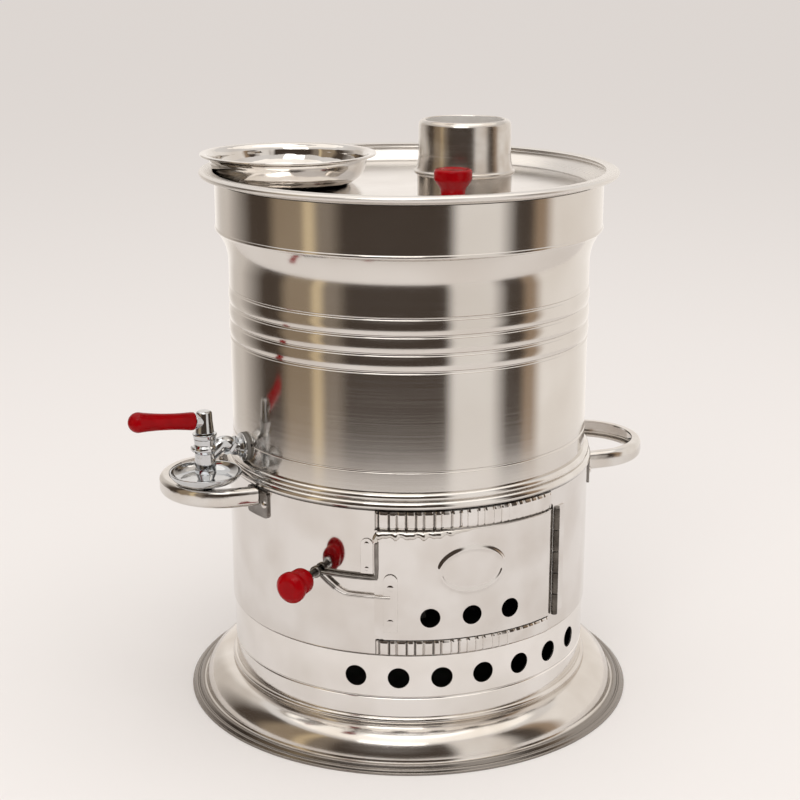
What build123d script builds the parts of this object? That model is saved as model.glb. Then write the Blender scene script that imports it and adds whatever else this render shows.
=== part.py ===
"""Portable samovar in bright stainless sheet: foot, vent ring, firebox, water tank, flue, lid and tap.

Millimetres, +Z up, origin at the bottom centre of the foot. The fire door faces -Y, the loop handles
stand on +X and -X, and bearings are measured from -Y towards +X.
"""
import os
from math import acos, asin, atan2, cos, degrees, radians, sin

from build123d import *

os.makedirs("parts", exist_ok=True)

# --- Driving dimensions ---------------------------------------------------------------------------

# Sheet thicknesses
body_sheet = 1.0
tank_sheet = 1.2
lid_sheet = 1.0
foot_sheet = 1.2
flue_sheet = 1.2
dish_sheet = 0.9

# Outside radius of the firebox, and the steps from it to the other drums
firebox_radius = 110.5
tank_inset = 2.5
band_step = 7.0
foot_width = 28.5

# Heights, stacked from the floor up
foot_height = 22.0
vent_height = 39.5
firebox_height = 86.5
seam_height = 10.0
tank_height = 169.4
drum_lap = 5.0
foot_lap = 2.5

# Foot
foot_roll = 2.2
shoulder_rise = 3.6
shoulder_width = 4.0
rim_width = 9.0
rim_rise = 4.2
foot_crown_drop = 3.4
foot_crown_shift = 1.5
foot_hem = 3.0

# Air holes in the vent ring: one row in front, the same row behind
vent_hole_radius = 6.3
vent_hole_rise = 24.5
vent_hole_count = 7
vent_hole_pitch = 13.1
vent_row_bearing = 4.3
score_depth = 0.6
score_width = 1.8
vent_score_rise = 12.0

# Grate and ash floor
ash_floor_rise = 2.0
ash_floor_thickness = 1.2
grate_ring_width = 6.5
grate_ring_thickness = 1.5
grate_thickness = 2.5
grate_gap = 2.0
grate_slot_width = 6.0
grate_slot_length = 34.0
grate_slot_circle = 62.0
grate_slot_count = 14
grate_hole_radius = 4.0
grate_hole_circle = 26.0
grate_hole_count = 8

# Fire door and its opening
door_half_angle = 28.9
door_rise = 9.7
door_height = 65.8
door_thickness = 1.0
door_gap = 0.35
door_overlap = 5.0
door_hole_radius = 5.8
door_hole_rise = 13.2
door_hole_pitch = 12.6
door_rib_width = 1.6
door_rib_rise = 0.5
door_rib_inset = 4.0
door_hem_radius = 1.4
door_hem_reach = 0.5
door_oval_length = 40.0
door_oval_height = 27.0
door_oval_rise = 40.8

# Hinge
hinge_lead = 1.7
hinge_stand = 1.05
barrel_radius = 1.9
pin_radius = 0.95
pin_clearance = 0.06
knuckle_count = 5
knuckle_gap = 0.4
hinge_leaf_width = 8.5
hinge_leaf_thickness = 0.8
hinge_edge_gap = 0.45

# Spring catch beside the door
catch_width = 7.2
catch_rise = 39.3
catch_height = 21.0
catch_thickness = 0.8
catch_crown = 2.0
catch_taper = 35.0
catch_gap = 0.8

# Crimped strips above and below the door
strip_thickness = 0.5
strip_stand = 0.1
strip_gap = 0.8
flute_radius = 1.3
flute_count = 21

# Door arm and knob: bent wire on an arched plate that is riveted to the door
arm_wire_radius = 1.2
arm_wire_gap = 0.1
arm_joint_step = 0.1
arm_bearing = -46.5
arm_door_rise = 37.3
arm_drop = 11.3
arm_rise = 21.0
arm_bend_bearing = -38.5
arm_turn_bearing = -28.2
arm_plate_bearing = -24.2
arm_plate_width = 8.0
arm_plate_rise = 4.8
arm_plate_height = 35.0
arm_plate_thickness = 1.0
arm_rivet_rises = (6.0, 26.8)
arm_hub_radius = 3.4
arm_hub_length = 3.4
door_stem_radius = 2.0
ferrule_reach = 8.0
ferrule_radius = 3.6
ferrule_length = 4.0
door_knob_radius = 8.6
door_knob_length = 19.6
door_knob_neck = 5.4
knob_bore_depth = 8.0
knob_bore_spare = 0.4

# Flue and chimney collar
flue_radius = 25.0
flue_x = 17.4
flue_y = -46.2
flue_above_lid = 15.0
flue_lid_gap = 0.5
collar_gap = 0.3
collar_wall = 1.4
collar_height = 42.0
collar_bead_height = 13.0
collar_bead_rise = 2.0
collar_bead_half = 2.2
collar_lip = 1.6
collar_roll = 3.2

# Tank
tank_floor_rise = 2.0
tank_floor_thickness = 1.2
tank_score_rise = 11.8
groove_rise = 76.7
groove_pitch = 10.0
groove_count = 4
groove_half_width = 1.1
groove_depth = 0.7
swell = 0.6
cove_rise = 121.0
cove_radius = 31.8
cove_short = 0.4
band_roll = 0.5
band_roll_height = 2.4

# Lid
lid_overhang = 9.0
lid_rim_height = 3.3
lid_recess = 5.4
lid_flange_rise = 3.4
lid_wall_gap = 0.5
lid_corner = 1.6
lid_hole_radius = 24.0
lid_knob_x = -3.4
lid_knob_y = -83.5
lid_knob_radius = 10.5
lid_knob_foot = 6.7
lid_knob_height = 19.5
lid_screw_radius = 2.0
lid_screw_reach = 10.0
lid_screw_head_radius = 3.8
lid_screw_head_height = 2.2
lid_washer_radius = 5.5
lid_washer_thickness = 0.8

# Dish that stands on the lid over the steam hole
dish_inset = 45.5
dish_y = 26.0
dish_radius = 52.4
dish_lip_width = 5.8
dish_belly = 12.6
dish_height = 17.6

# Seam bead between firebox and tank
seam_lower_reach = 1.8
seam_upper_reach = 0.5
seam_split = 5.6

# Loop handles
handle_drop = 5.5
handle_spread = 36.0
handle_length = 40.6
channel_height = 11.0
channel_depth = 5.8
channel_wall = 1.3
channel_corner = 3.2
plate_thickness = 1.5
plate_half_angle = 5.2
plate_drop = 17.0
plate_height = 16.4
rivet_radius = 1.2
rivet_head_radius = 2.3
rivet_head_height = 1.2
rivet_half_angle = 3.9

# Tap
tap_bearing = -82.0
tap_seam_gap = 0.4
neck_length = 23.4
spigot_radius = 4.6
spigot_bore = 2.8
spigot_inside = 11.0
gasket_radius = 8.6
gasket_thickness = 1.6
bell_length = 3.4
bell_radius = 8.4
bell_rim = 1.0
locknut_radius = 9.0
locknut_thickness = 4.0
neck_radius = 4.6
neck_bend = 5.0
neck_run = 5.2
neck_climb = 6.7
neck_rise = 5.0
neck_fall = 4.0
collar_nut_radius = 6.2
collar_nut_length = 2.6
collar_nut_offset = 1.8
barrel_outer = 6.3
barrel_drop = 16.5
barrel_rise = 8.5
barrel_flange_radius = 8.0
barrel_flange_rise = 1.0
barrel_flange_height = 3.4
plug_top_radius = 4.4
plug_bottom_radius = 3.8
plug_clearance = 0.05
plug_seat = 4.0
plug_headroom = 0.3
spout_radius = 4.8
spout_bore = 3.0
spout_length = 16.0
port_radius = 2.3
cup_radius = 21.2
cup_foot_radius = 14.5
cup_height = 5.4
cup_sheet = 1.0
gland_height = 3.0
gland_radius = 6.9
gland_waist = 6.2
stem_radius = 3.0
stem_clearance = 0.3
lever_gap = 0.5
lever_height = 13.6
lever_radius = 5.0
lever_tilt = 6.0
lever_socket_radius = 4.5
lever_rod_radius = 2.4
lever_rod_length = 24.0
grip_start = 6.2
grip_length = 39.5
grip_radius = 5.3
grip_end_radius = 6.0

# --- Sizes that follow ----------------------------------------------------------------------------

tank_radius = firebox_radius - tank_inset
band_radius = tank_radius + band_step
vent_radius = firebox_radius - body_sheet
foot_radius = vent_radius + foot_width
lid_radius = band_radius + lid_overhang
firebox_bottom = foot_height + vent_height
firebox_top = firebox_bottom + firebox_height
seam_top = firebox_top + seam_height
tank_bottom = firebox_top + tank_floor_rise
tank_top = tank_bottom + tank_height
firebox_bore = firebox_radius - body_sheet
tank_bore = tank_radius - tank_sheet
vent_bore = vent_radius - body_sheet
band_bore = band_radius - tank_sheet
door_inner = firebox_radius + door_gap
door_outer = door_inner + door_thickness
door_bottom = firebox_bottom + door_rise
door_top = door_bottom + door_height
lid_plate_top = tank_top + lid_sheet - lid_recess
lid_plate_under = lid_plate_top - lid_sheet
plate_outer = firebox_radius + plate_thickness
collar_radius = flue_radius + collar_gap + collar_wall
flue_top = lid_plate_top + flue_above_lid
handle_height = firebox_top - handle_drop
plate_bottom = firebox_top - plate_drop
handle_reach = plate_outer + handle_length
gasket_outer = tank_radius + gasket_thickness
tap_height = seam_top + gasket_radius + tap_seam_gap

hinge_bearing = door_half_angle + hinge_lead
hinge_reach = door_outer + hinge_stand
hinge_x = hinge_reach * sin(radians(hinge_bearing))
hinge_y = -hinge_reach * cos(radians(hinge_bearing))
barrel_span = (door_height - (knuckle_count - 1) * knuckle_gap) / knuckle_count


# --- Helpers --------------------------------------------------------------------------------------

def polar(radius, bearing, z=0.0):
    """Point at a bearing from -Y towards +X."""
    return Vector(radius * sin(radians(bearing)), -radius * cos(radians(bearing)), z)


def outward(radius, bearing, z):
    """Plane that faces straight out from the axis, with its own Y up."""
    across = Vector(cos(radians(bearing)), sin(radians(bearing)), 0)
    return Plane(origin=polar(radius, bearing, z), x_dir=across, z_dir=polar(1, bearing))


def upright(x, y):
    """Vertical plane through (x, y) for a profile that is turned about that place."""
    return Plane(origin=(x, y, 0), x_dir=(1, 0, 0), z_dir=(0, -1, 0))


def post(x, y):
    """Vertical axis through (x, y)."""
    return Axis((x, y, 0), (0, 0, 1))


def sector(inner, outer, start, end):
    """Add to the sketch a ring segment between two bearings."""
    with BuildLine() as outline:
        CenterArc((0, 0), outer, start - 90, end - start)
        CenterArc((0, 0), inner, start - 90, end - start)
        Line(polar(inner, start), polar(outer, start))
        Line(polar(inner, end), polar(outer, end))
    make_face(outline.edges())


def curved_plate(inner, outer, start, end, bottom, height, mode=Mode.ADD):
    """Add to the part a plate that follows the drum."""
    with BuildSketch(Plane.XY.offset(bottom)) as profile:
        sector(inner, outer, start, end)
    extrude(profile.sketch, amount=height, mode=mode)


def radial_hole(radius, reach, depth, bearing, z):
    """Cut a round hole through a drum wall from outside."""
    with BuildSketch(outward(reach, bearing, z)) as profile:
        Circle(radius)
    extrude(profile.sketch, amount=-depth, mode=Mode.SUBTRACT)


def wire(start, end, radius):
    """Add a straight length of round wire."""
    with BuildSketch(Plane(origin=start, z_dir=end - start)) as profile:
        Circle(radius)
    extrude(profile.sketch, amount=(end - start).length)


def ball(place, radius):
    """Add a ball, where two lengths of wire meet."""
    with Locations(place):
        Sphere(radius)


def save(builder, name):
    """Name a finished piece and write its STEP file."""
    builder.part.label = name
    export_step(builder.part, f"parts/{name}.step")


# --- Foot and vent ring ---------------------------------------------------------------------------

shoulder_radius = vent_radius + shoulder_width
shoulder_height = foot_height - shoulder_rise
rim_start = foot_radius - rim_width
rim_step = rim_rise / 4
crown_radius = (shoulder_radius + rim_start) / 2 + foot_crown_shift
crown_height = shoulder_height - foot_crown_drop

with BuildPart() as base_flange:
    with BuildSketch(Plane.XZ):
        with BuildLine():
            Line((vent_radius, foot_height - foot_lap), (vent_radius, foot_height))
            CenterArc((vent_radius, foot_height - foot_roll), foot_roll, 0, 90)
            ThreePointArc((vent_radius + foot_roll, foot_height - foot_roll),
                          (shoulder_radius - 0.4, foot_height - 2.6), (shoulder_radius, shoulder_height))
            ThreePointArc((shoulder_radius, shoulder_height), (crown_radius, crown_height),
                          (rim_start, rim_rise))
            Polyline((rim_start, rim_rise), (rim_start + 0.8, rim_rise - rim_step * 0.6),
                     (foot_radius - 4.2, rim_rise - rim_step), (foot_radius - 3.8, rim_rise - rim_step * 1.7),
                     (foot_radius - 1.6, rim_rise - rim_step * 2.0),
                     (foot_radius - 1.2, rim_rise - rim_step * 2.8),
                     (foot_radius, rim_rise - rim_step * 3.0), (foot_radius, 0), (foot_radius - foot_hem, 0),
                     (foot_radius - foot_hem, rim_step), (rim_start - 0.6, rim_rise - foot_sheet * 1.4))
            ThreePointArc((rim_start - 0.6, rim_rise - foot_sheet * 1.4),
                          (crown_radius - 0.8, crown_height - foot_sheet),
                          (shoulder_radius - 0.6, shoulder_height - foot_sheet))
            Line((shoulder_radius - 0.6, shoulder_height - foot_sheet), (vent_radius, foot_height - foot_lap))
        make_face()
    revolve(axis=Axis.Z)
save(base_flange, "base_flange")

vent_bottom = foot_height - foot_lap
vent_top = firebox_bottom + drum_lap
vent_score_height = foot_height + vent_score_rise
vent_hole_height = foot_height + vent_hole_rise

with BuildPart() as vent_ring:
    with BuildSketch(Plane.XZ):
        with BuildLine():
            Line((vent_radius, vent_bottom), (vent_radius, vent_score_height - score_width / 2))
            ThreePointArc((vent_radius, vent_score_height - score_width / 2),
                          (vent_radius - score_depth, vent_score_height),
                          (vent_radius, vent_score_height + score_width / 2))
            Polyline((vent_radius, vent_score_height + score_width / 2), (vent_radius, vent_top),
                     (vent_bore, vent_top), (vent_bore, vent_bottom), (vent_radius, vent_bottom))
        make_face()
    revolve(axis=Axis.Z)
    for middle in (vent_row_bearing, vent_row_bearing + 180):
        for index in range(vent_hole_count):
            bearing = middle + (index - (vent_hole_count - 1) / 2) * vent_hole_pitch
            radial_hole(vent_hole_radius, vent_radius + 1, body_sheet + 3, bearing, vent_hole_height)
save(vent_ring, "vent_ring")

with BuildPart() as ash_floor:
    with BuildSketch(Plane.XY.offset(foot_height + ash_floor_rise)):
        Circle(vent_bore)
    extrude(amount=ash_floor_thickness)
save(ash_floor, "ash_floor")

# --- Firebox --------------------------------------------------------------------------------------

overlap_angle = degrees(door_overlap / firebox_radius)
catch_bottom = door_bottom + catch_rise
flute_pitch = 2 * door_half_angle / (flute_count + 1)
handle_bearing = degrees(asin(handle_spread / plate_outer))
rivet_bearings = [side * (90 - leg * handle_bearing) + shift * rivet_half_angle
                  for side in (-1, 1) for leg in (-1, 1) for shift in (-1, 1)]
rivet_height = plate_bottom + plate_height / 2
catch_bearing = -door_half_angle - degrees((catch_gap + catch_width / 2) / firebox_radius)
catch_rivet_inset = 3.0
catch_rivet_radius = 0.9

with BuildPart() as firebox_shell:
    with BuildSketch(Plane.XY.offset(firebox_bottom)):
        Circle(firebox_radius)
        Circle(firebox_bore, mode=Mode.SUBTRACT)
    extrude(amount=firebox_height)
    curved_plate(firebox_bore - 2, firebox_radius + 2, overlap_angle - door_half_angle,
                 door_half_angle - overlap_angle, door_bottom + door_overlap,
                 door_height - 2 * door_overlap, mode=Mode.SUBTRACT)
    for bearing in rivet_bearings:
        radial_hole(rivet_radius, firebox_radius + 1, body_sheet + 2, bearing, rivet_height)
    for z in (catch_bottom + catch_rivet_inset, catch_bottom + catch_height - catch_rivet_inset):
        radial_hole(catch_rivet_radius, firebox_radius + 1, body_sheet + 2, catch_bearing, z)
save(firebox_shell, "firebox_shell")


def crimped_strip(bottom, height):
    """Fluted strip that is spot welded to the firebox over the door's width."""
    strip_inner = firebox_radius + strip_stand
    with BuildPart() as strip:
        curved_plate(strip_inner, strip_inner + strip_thickness, -door_half_angle, door_half_angle,
                     bottom, height)
        for index in range(flute_count):
            bearing = (index - (flute_count - 1) / 2) * flute_pitch
            with BuildSketch(Plane.XY.offset(bottom)):
                with Locations(polar(strip_inner + strip_thickness, bearing)):
                    Circle(flute_radius)
            extrude(amount=height)
        with Locations((0, 0, bottom + height / 2)):
            Cylinder(strip_inner, height, mode=Mode.SUBTRACT)
    return strip


upper_crimp_strip = crimped_strip(door_top + strip_gap, firebox_top - door_top - strip_gap)
save(upper_crimp_strip, "upper_crimp_strip")
lower_crimp_strip = crimped_strip(firebox_bottom, door_bottom - strip_gap - firebox_bottom)
save(lower_crimp_strip, "lower_crimp_strip")

with BuildPart() as grate_ring:
    with BuildSketch(Plane.XY.offset(vent_top)):
        Circle(firebox_bore)
        Circle(firebox_bore - grate_ring_width, mode=Mode.SUBTRACT)
    extrude(amount=grate_ring_thickness)
save(grate_ring, "grate_ring")

grate_bottom = vent_top + grate_ring_thickness
grate_radius = firebox_bore - grate_gap

with BuildPart() as grate:
    with BuildSketch(Plane.XY.offset(grate_bottom)):
        Circle(grate_radius)
        with PolarLocations(grate_slot_circle, grate_slot_count):
            SlotOverall(grate_slot_length, grate_slot_width, mode=Mode.SUBTRACT)
        with PolarLocations(grate_hole_circle, grate_hole_count):
            Circle(grate_hole_radius, mode=Mode.SUBTRACT)
        Circle(grate_hole_radius, mode=Mode.SUBTRACT)
    extrude(amount=grate_thickness)
save(grate, "grate")

# --- Seam and tank --------------------------------------------------------------------------------

with BuildPart() as seam_bead:
    seam_middle = firebox_top + seam_split
    with BuildSketch(Plane.XZ):
        with BuildLine():
            Line((tank_radius, firebox_top), (firebox_radius - 0.6, firebox_top))
            ThreePointArc((firebox_radius - 0.6, firebox_top),
                          (firebox_radius + seam_lower_reach, firebox_top + seam_split / 2),
                          (firebox_radius - 0.8, seam_middle))
            ThreePointArc((firebox_radius - 0.8, seam_middle),
                          (firebox_radius + seam_upper_reach, (seam_middle + seam_top) / 2),
                          (tank_radius + 1.0, seam_top))
            Polyline((tank_radius + 1.0, seam_top), (tank_radius, seam_top), (tank_radius, firebox_top))
        make_face()
    revolve(axis=Axis.Z)
save(seam_bead, "seam_bead")

tank_score_height = seam_top + tank_score_rise
groove_height = tank_bottom + groove_rise
cove_height = tank_bottom + cove_rise
cove_angle = degrees(acos(1 - (band_step - cove_short) / cove_radius))
cove_x = tank_radius + cove_radius
cove_end = (cove_x - cove_radius * cos(radians(cove_angle)),
            cove_height + cove_radius * sin(radians(cove_angle)))
inner_cove_radius = cove_radius + tank_sheet
inner_cove_end = (cove_x - inner_cove_radius * cos(radians(cove_angle)),
                  cove_height + inner_cove_radius * sin(radians(cove_angle)))
cove_mid_angle = radians(cove_angle / 2)


def tank_wall():
    """Closed outline of the tank wall: score, grooves with swells between, cove and band."""
    start = (tank_radius, tank_bottom)
    score_low = (tank_radius, tank_score_height - score_width / 2)
    score_high = (tank_radius, tank_score_height + score_width / 2)
    Line(start, score_low)
    ThreePointArc(score_low, (tank_radius - score_depth, tank_score_height), score_high)
    last = score_high
    for index in range(groove_count):
        middle = groove_height + index * groove_pitch
        low = (tank_radius, middle - groove_half_width)
        high = (tank_radius, middle + groove_half_width)
        if index == 0:
            Line(last, low)
        else:
            ThreePointArc(last, (tank_radius + swell, middle - groove_pitch / 2), low)
        ThreePointArc(low, (tank_radius - groove_depth, middle), high)
        last = high
    Line(last, (tank_radius, cove_height))
    ThreePointArc((tank_radius, cove_height),
                  (cove_x - cove_radius * cos(cove_mid_angle),
                   cove_height + cove_radius * sin(cove_mid_angle)),
                  cove_end)
    band_start = (band_radius, cove_end[1] + band_roll_height)
    ThreePointArc(cove_end, (band_radius + band_roll, cove_end[1] + band_roll_height / 2), band_start)
    Polyline(band_start, (band_radius, tank_top), (band_bore, tank_top),
             (band_bore, band_start[1] + tank_sheet), inner_cove_end)
    ThreePointArc(inner_cove_end,
                  (cove_x - inner_cove_radius * cos(cove_mid_angle),
                   cove_height + inner_cove_radius * sin(cove_mid_angle)),
                  (tank_bore, cove_height))
    Polyline((tank_bore, cove_height), (tank_bore, tank_bottom), start)


with BuildPart() as tank_shell:
    with BuildSketch(Plane.XZ):
        with BuildLine():
            tank_wall()
        make_face()
    revolve(axis=Axis.Z)
    radial_hole(spigot_radius, band_radius, band_radius - tank_bore + 3, tap_bearing, tap_height)
save(tank_shell, "tank_shell")

with BuildPart() as tank_floor:
    with BuildSketch(Plane.XY.offset(tank_bottom)):
        Circle(tank_bore)
        with Locations((flue_x, flue_y)):
            Circle(flue_radius, mode=Mode.SUBTRACT)
    extrude(amount=tank_floor_thickness)
save(tank_floor, "tank_floor")

with BuildPart() as flue_tube:
    with BuildSketch(Plane.XY.offset(tank_bottom)):
        with Locations((flue_x, flue_y)):
            Circle(flue_radius)
            Circle(flue_radius - flue_sheet, mode=Mode.SUBTRACT)
    extrude(amount=flue_top - tank_bottom)
save(flue_tube, "flue_tube")

# --- Loop handles ---------------------------------------------------------------------------------

loop_radius = handle_spread
loop_centre = handle_reach - loop_radius
leg_root = plate_outer - 9.0

with BuildPart() as right_handle:
    with BuildLine(Plane.XY.offset(handle_height)) as loop:
        Line((leg_root, -handle_spread), (loop_centre, -handle_spread))
        ThreePointArc((loop_centre, -handle_spread), (handle_reach, 0), (loop_centre, handle_spread))
        Line((loop_centre, handle_spread), (leg_root, handle_spread))
    section = Plane(origin=(leg_root, -handle_spread, handle_height), x_dir=(0, -1, 0), z_dir=(-1, 0, 0))
    with BuildSketch(section):
        with BuildLine():
            half = channel_height / 2
            deep = channel_depth / 2
            bend = channel_corner
            inner_bend = channel_corner - channel_wall
            outside = FilletPolyline((-deep, half), (deep, half), (deep, -half), (-deep, -half), radius=bend)
            inside = FilletPolyline((-deep, half - channel_wall), (deep - channel_wall, half - channel_wall),
                                    (deep - channel_wall, channel_wall - half), (-deep, channel_wall - half),
                                    radius=inner_bend)
            Line(outside @ 0, inside @ 0)
            Line(outside @ 1, inside @ 1)
        make_face()
    sweep(path=loop.wires()[0])
    with Locations((0, 0, handle_height)):
        Cylinder(plate_outer, channel_height + 4, mode=Mode.SUBTRACT)
save(right_handle, "right_handle")

with BuildPart() as left_handle:
    mirror(right_handle.part, about=Plane.YZ)
save(left_handle, "left_handle")

with BuildPart() as handle_plates:
    for side in (-1, 1):
        for leg in (-1, 1):
            middle = side * (90 - leg * handle_bearing)
            curved_plate(firebox_radius, plate_outer, middle - plate_half_angle,
                         middle + plate_half_angle, plate_bottom, plate_height)
    for bearing in rivet_bearings:
        radial_hole(rivet_radius, plate_outer + 1, plate_thickness + 2, bearing, rivet_height)
save(handle_plates, "handle_plates")


def rivet(bearing, z, seat, inner, shank_radius, head_radius, head_height):
    """Domed rivet set through a drum wall, its tail closed flat inside."""
    frame = outward(0, bearing, z)
    side = Plane(origin=frame.origin, x_dir=frame.z_dir, z_dir=frame.x_dir)
    with BuildSketch(side) as profile:
        with BuildLine():
            Polyline((seat, 0), (seat + head_height, 0))
            ThreePointArc((seat + head_height, 0), (seat + head_height * 0.7, head_radius * 0.65),
                          (seat - 0.02, head_radius))
            Polyline((seat - 0.02, head_radius), (seat - 0.02, shank_radius), (inner, shank_radius),
                     (inner, head_radius), (inner - 0.8, head_radius), (inner - 0.8, 0), (seat, 0))
        make_face()
    revolve(profile.sketch, axis=Axis(frame.origin, frame.z_dir))


# A tail closes flat against the curved wall, so it stands inside by the sag of that curve.
head_sag = rivet_head_radius ** 2 / (2 * firebox_bore)
with BuildPart() as handle_rivets:
    for bearing in rivet_bearings:
        rivet(bearing, rivet_height, plate_outer + 0.02, firebox_bore - head_sag, rivet_radius,
              rivet_head_radius, rivet_head_height)
save(handle_rivets, "handle_rivets")

# --- Fire door ------------------------------------------------------------------------------------

hinge_edge = hinge_bearing - degrees((barrel_radius + hinge_edge_gap) / hinge_reach)


def knuckles(parity):
    """Barrels of one leaf, taking every second place along the pin."""
    for index in range(knuckle_count):
        if index % 2 == parity:
            bottom = door_bottom + index * (barrel_span + knuckle_gap)
            yield bottom


rib_crest = door_outer + door_rib_rise
door_oval_middle = door_bottom + door_oval_rise
door_hole_height = door_bottom + door_hole_rise
arm_plate_bottom = door_bottom + arm_plate_rise
arm_rivet_heights = [arm_plate_bottom + rise for rise in arm_rivet_rises]
rib_root = door_outer - door_thickness / 2

with BuildPart() as door_oval:
    with BuildSketch(outward(door_inner - door_oval_length / 10, 0, door_oval_middle)):
        Ellipse(door_oval_length / 2, door_oval_height / 2)
        Ellipse(door_oval_length / 2 - door_rib_width, door_oval_height / 2 - door_rib_width,
                mode=Mode.SUBTRACT)
    extrude(amount=door_oval_length / 5)
    with Locations((0, 0, door_oval_middle)):
        Cylinder(rib_root, 2 * door_oval_height, mode=Mode.SUBTRACT)
        Cylinder(rib_crest, 2 * door_oval_height, mode=Mode.INTERSECT)

with BuildPart() as door_panel:
    curved_plate(door_inner, door_outer, -door_half_angle, hinge_edge, door_bottom, door_height)
    inset = degrees(door_rib_inset / door_outer)
    rib = degrees(door_rib_width / door_outer)
    rib_start = arm_plate_bearing + degrees((arm_plate_width / 2 + door_rib_width) / door_outer)
    rib_end = door_half_angle - inset
    rib_bottom = door_bottom + door_rib_inset
    rib_top = door_top - door_rib_inset
    curved_plate(rib_root, rib_crest, rib_end - rib, rib_end, rib_bottom, rib_top - rib_bottom)
    for bottom in (rib_bottom, rib_top - door_rib_width):
        curved_plate(rib_root, rib_crest, rib_start, rib_end, bottom, door_rib_width)
    add(door_oval.part)
    hem_start = -door_half_angle + degrees(door_hem_radius / door_outer)
    hem_middle = (door_outer + door_hem_reach, door_top - door_hem_radius)
    hem_plane = Plane(origin=(0, 0, 0), x_dir=polar(1, hem_start), z_dir=-outward(1, hem_start, 0).x_dir)
    with BuildSketch(hem_plane):
        with Locations(hem_middle):
            Circle(door_hem_radius)
    revolve(axis=Axis.Z, revolution_arc=rib_end - hem_start)
    ball(polar(hem_middle[0], hem_start, hem_middle[1]), door_hem_radius)
    for index in (-1, 0, 1):
        radial_hole(door_hole_radius, door_outer + 2, door_thickness + 4, index * door_hole_pitch,
                    door_hole_height)
    for bottom in knuckles(0):
        curved_plate(door_inner, door_outer, hinge_edge - 1, hinge_bearing, bottom, barrel_span)
        with BuildSketch(Plane.XY.offset(bottom)):
            with Locations((hinge_x, hinge_y)):
                Circle(barrel_radius)
        extrude(amount=barrel_span)
    with BuildSketch(Plane.XY.offset(door_bottom)):
        with Locations((hinge_x, hinge_y)):
            Circle(pin_radius + pin_clearance)
    extrude(amount=door_height, mode=Mode.SUBTRACT)
    for z in arm_rivet_heights:
        radial_hole(rivet_radius, door_outer + 1, door_thickness + 2, arm_plate_bearing, z)
save(door_panel, "door_panel")

leaf_start = 2 * hinge_bearing - hinge_edge
leaf_end = leaf_start + degrees(hinge_leaf_width / firebox_radius)

with BuildPart() as frame_hinge_leaf:
    leaf_outer = firebox_radius + hinge_leaf_thickness
    curved_plate(firebox_radius, leaf_outer, leaf_start, leaf_end, door_bottom, door_height)
    for bottom in knuckles(1):
        curved_plate(firebox_radius, leaf_outer, hinge_bearing, leaf_start + 1, bottom, barrel_span)
        with BuildSketch(Plane.XY.offset(bottom)):
            with Locations((hinge_x, hinge_y)):
                Circle(barrel_radius)
        extrude(amount=barrel_span)
    with BuildSketch(Plane.XY.offset(door_bottom)):
        with Locations((hinge_x, hinge_y)):
            Circle(pin_radius)
    extrude(amount=door_height, mode=Mode.SUBTRACT)
save(frame_hinge_leaf, "frame_hinge_leaf")

pin_head_radius = 1.7
pin_head_height = 0.9

with BuildPart() as hinge_pin:
    with BuildSketch(Plane.XY.offset(door_bottom - 0.3)):
        with Locations((hinge_x, hinge_y)):
            Circle(pin_radius)
    extrude(amount=door_height + 0.6)
    with BuildSketch(Plane.XY.offset(door_top + 0.3)):
        with Locations((hinge_x, hinge_y)):
            Circle(pin_head_radius)
    extrude(amount=pin_head_height)
save(hinge_pin, "hinge_pin")

with BuildPart() as door_catch:
    catch_half = degrees(catch_width / 2 / firebox_radius)
    curved_plate(firebox_radius, firebox_radius + catch_thickness, catch_bearing - catch_half,
                 catch_bearing + catch_half, catch_bottom, catch_height)
    with BuildSketch(outward(firebox_radius + 0.3, catch_bearing, catch_bottom + catch_height / 2)):
        SlotOverall(catch_height - 3 * catch_rivet_inset, catch_width - 1.6, rotation=90)
    extrude(amount=catch_crown, taper=catch_taper)
    for z in (catch_bottom + catch_rivet_inset, catch_bottom + catch_height - catch_rivet_inset):
        radial_hole(catch_rivet_radius, firebox_radius + 3, 5, catch_bearing, z)
save(door_catch, "door_catch")

with BuildPart() as catch_rivets:
    for z in (catch_bottom + catch_rivet_inset, catch_bottom + catch_height - catch_rivet_inset):
        rivet(catch_bearing, z, firebox_radius + catch_thickness + 0.02, firebox_bore - 0.03,
              catch_rivet_radius, catch_rivet_radius + 0.7, 0.7)
save(catch_rivets, "catch_rivets")

arm_line = door_outer + arm_wire_gap + arm_wire_radius
arm_height = door_bottom + arm_door_rise
arm_low = arm_height - arm_drop
plate_face = door_outer + arm_plate_thickness
ferrule_start = arm_line + ferrule_reach
knob_start = ferrule_start + ferrule_length


def curved_wire(start, end, z):
    """Add wire that follows the drum between two bearings."""
    with BuildLine(Plane.XY.offset(z)) as path:
        CenterArc((0, 0), arm_line, start - 90, end - start)
    with BuildSketch(Plane(origin=path.line @ 0, z_dir=path.line % 0)) as profile:
        Circle(arm_wire_radius)
    sweep(profile.sketch, path=path.wires()[0])


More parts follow.
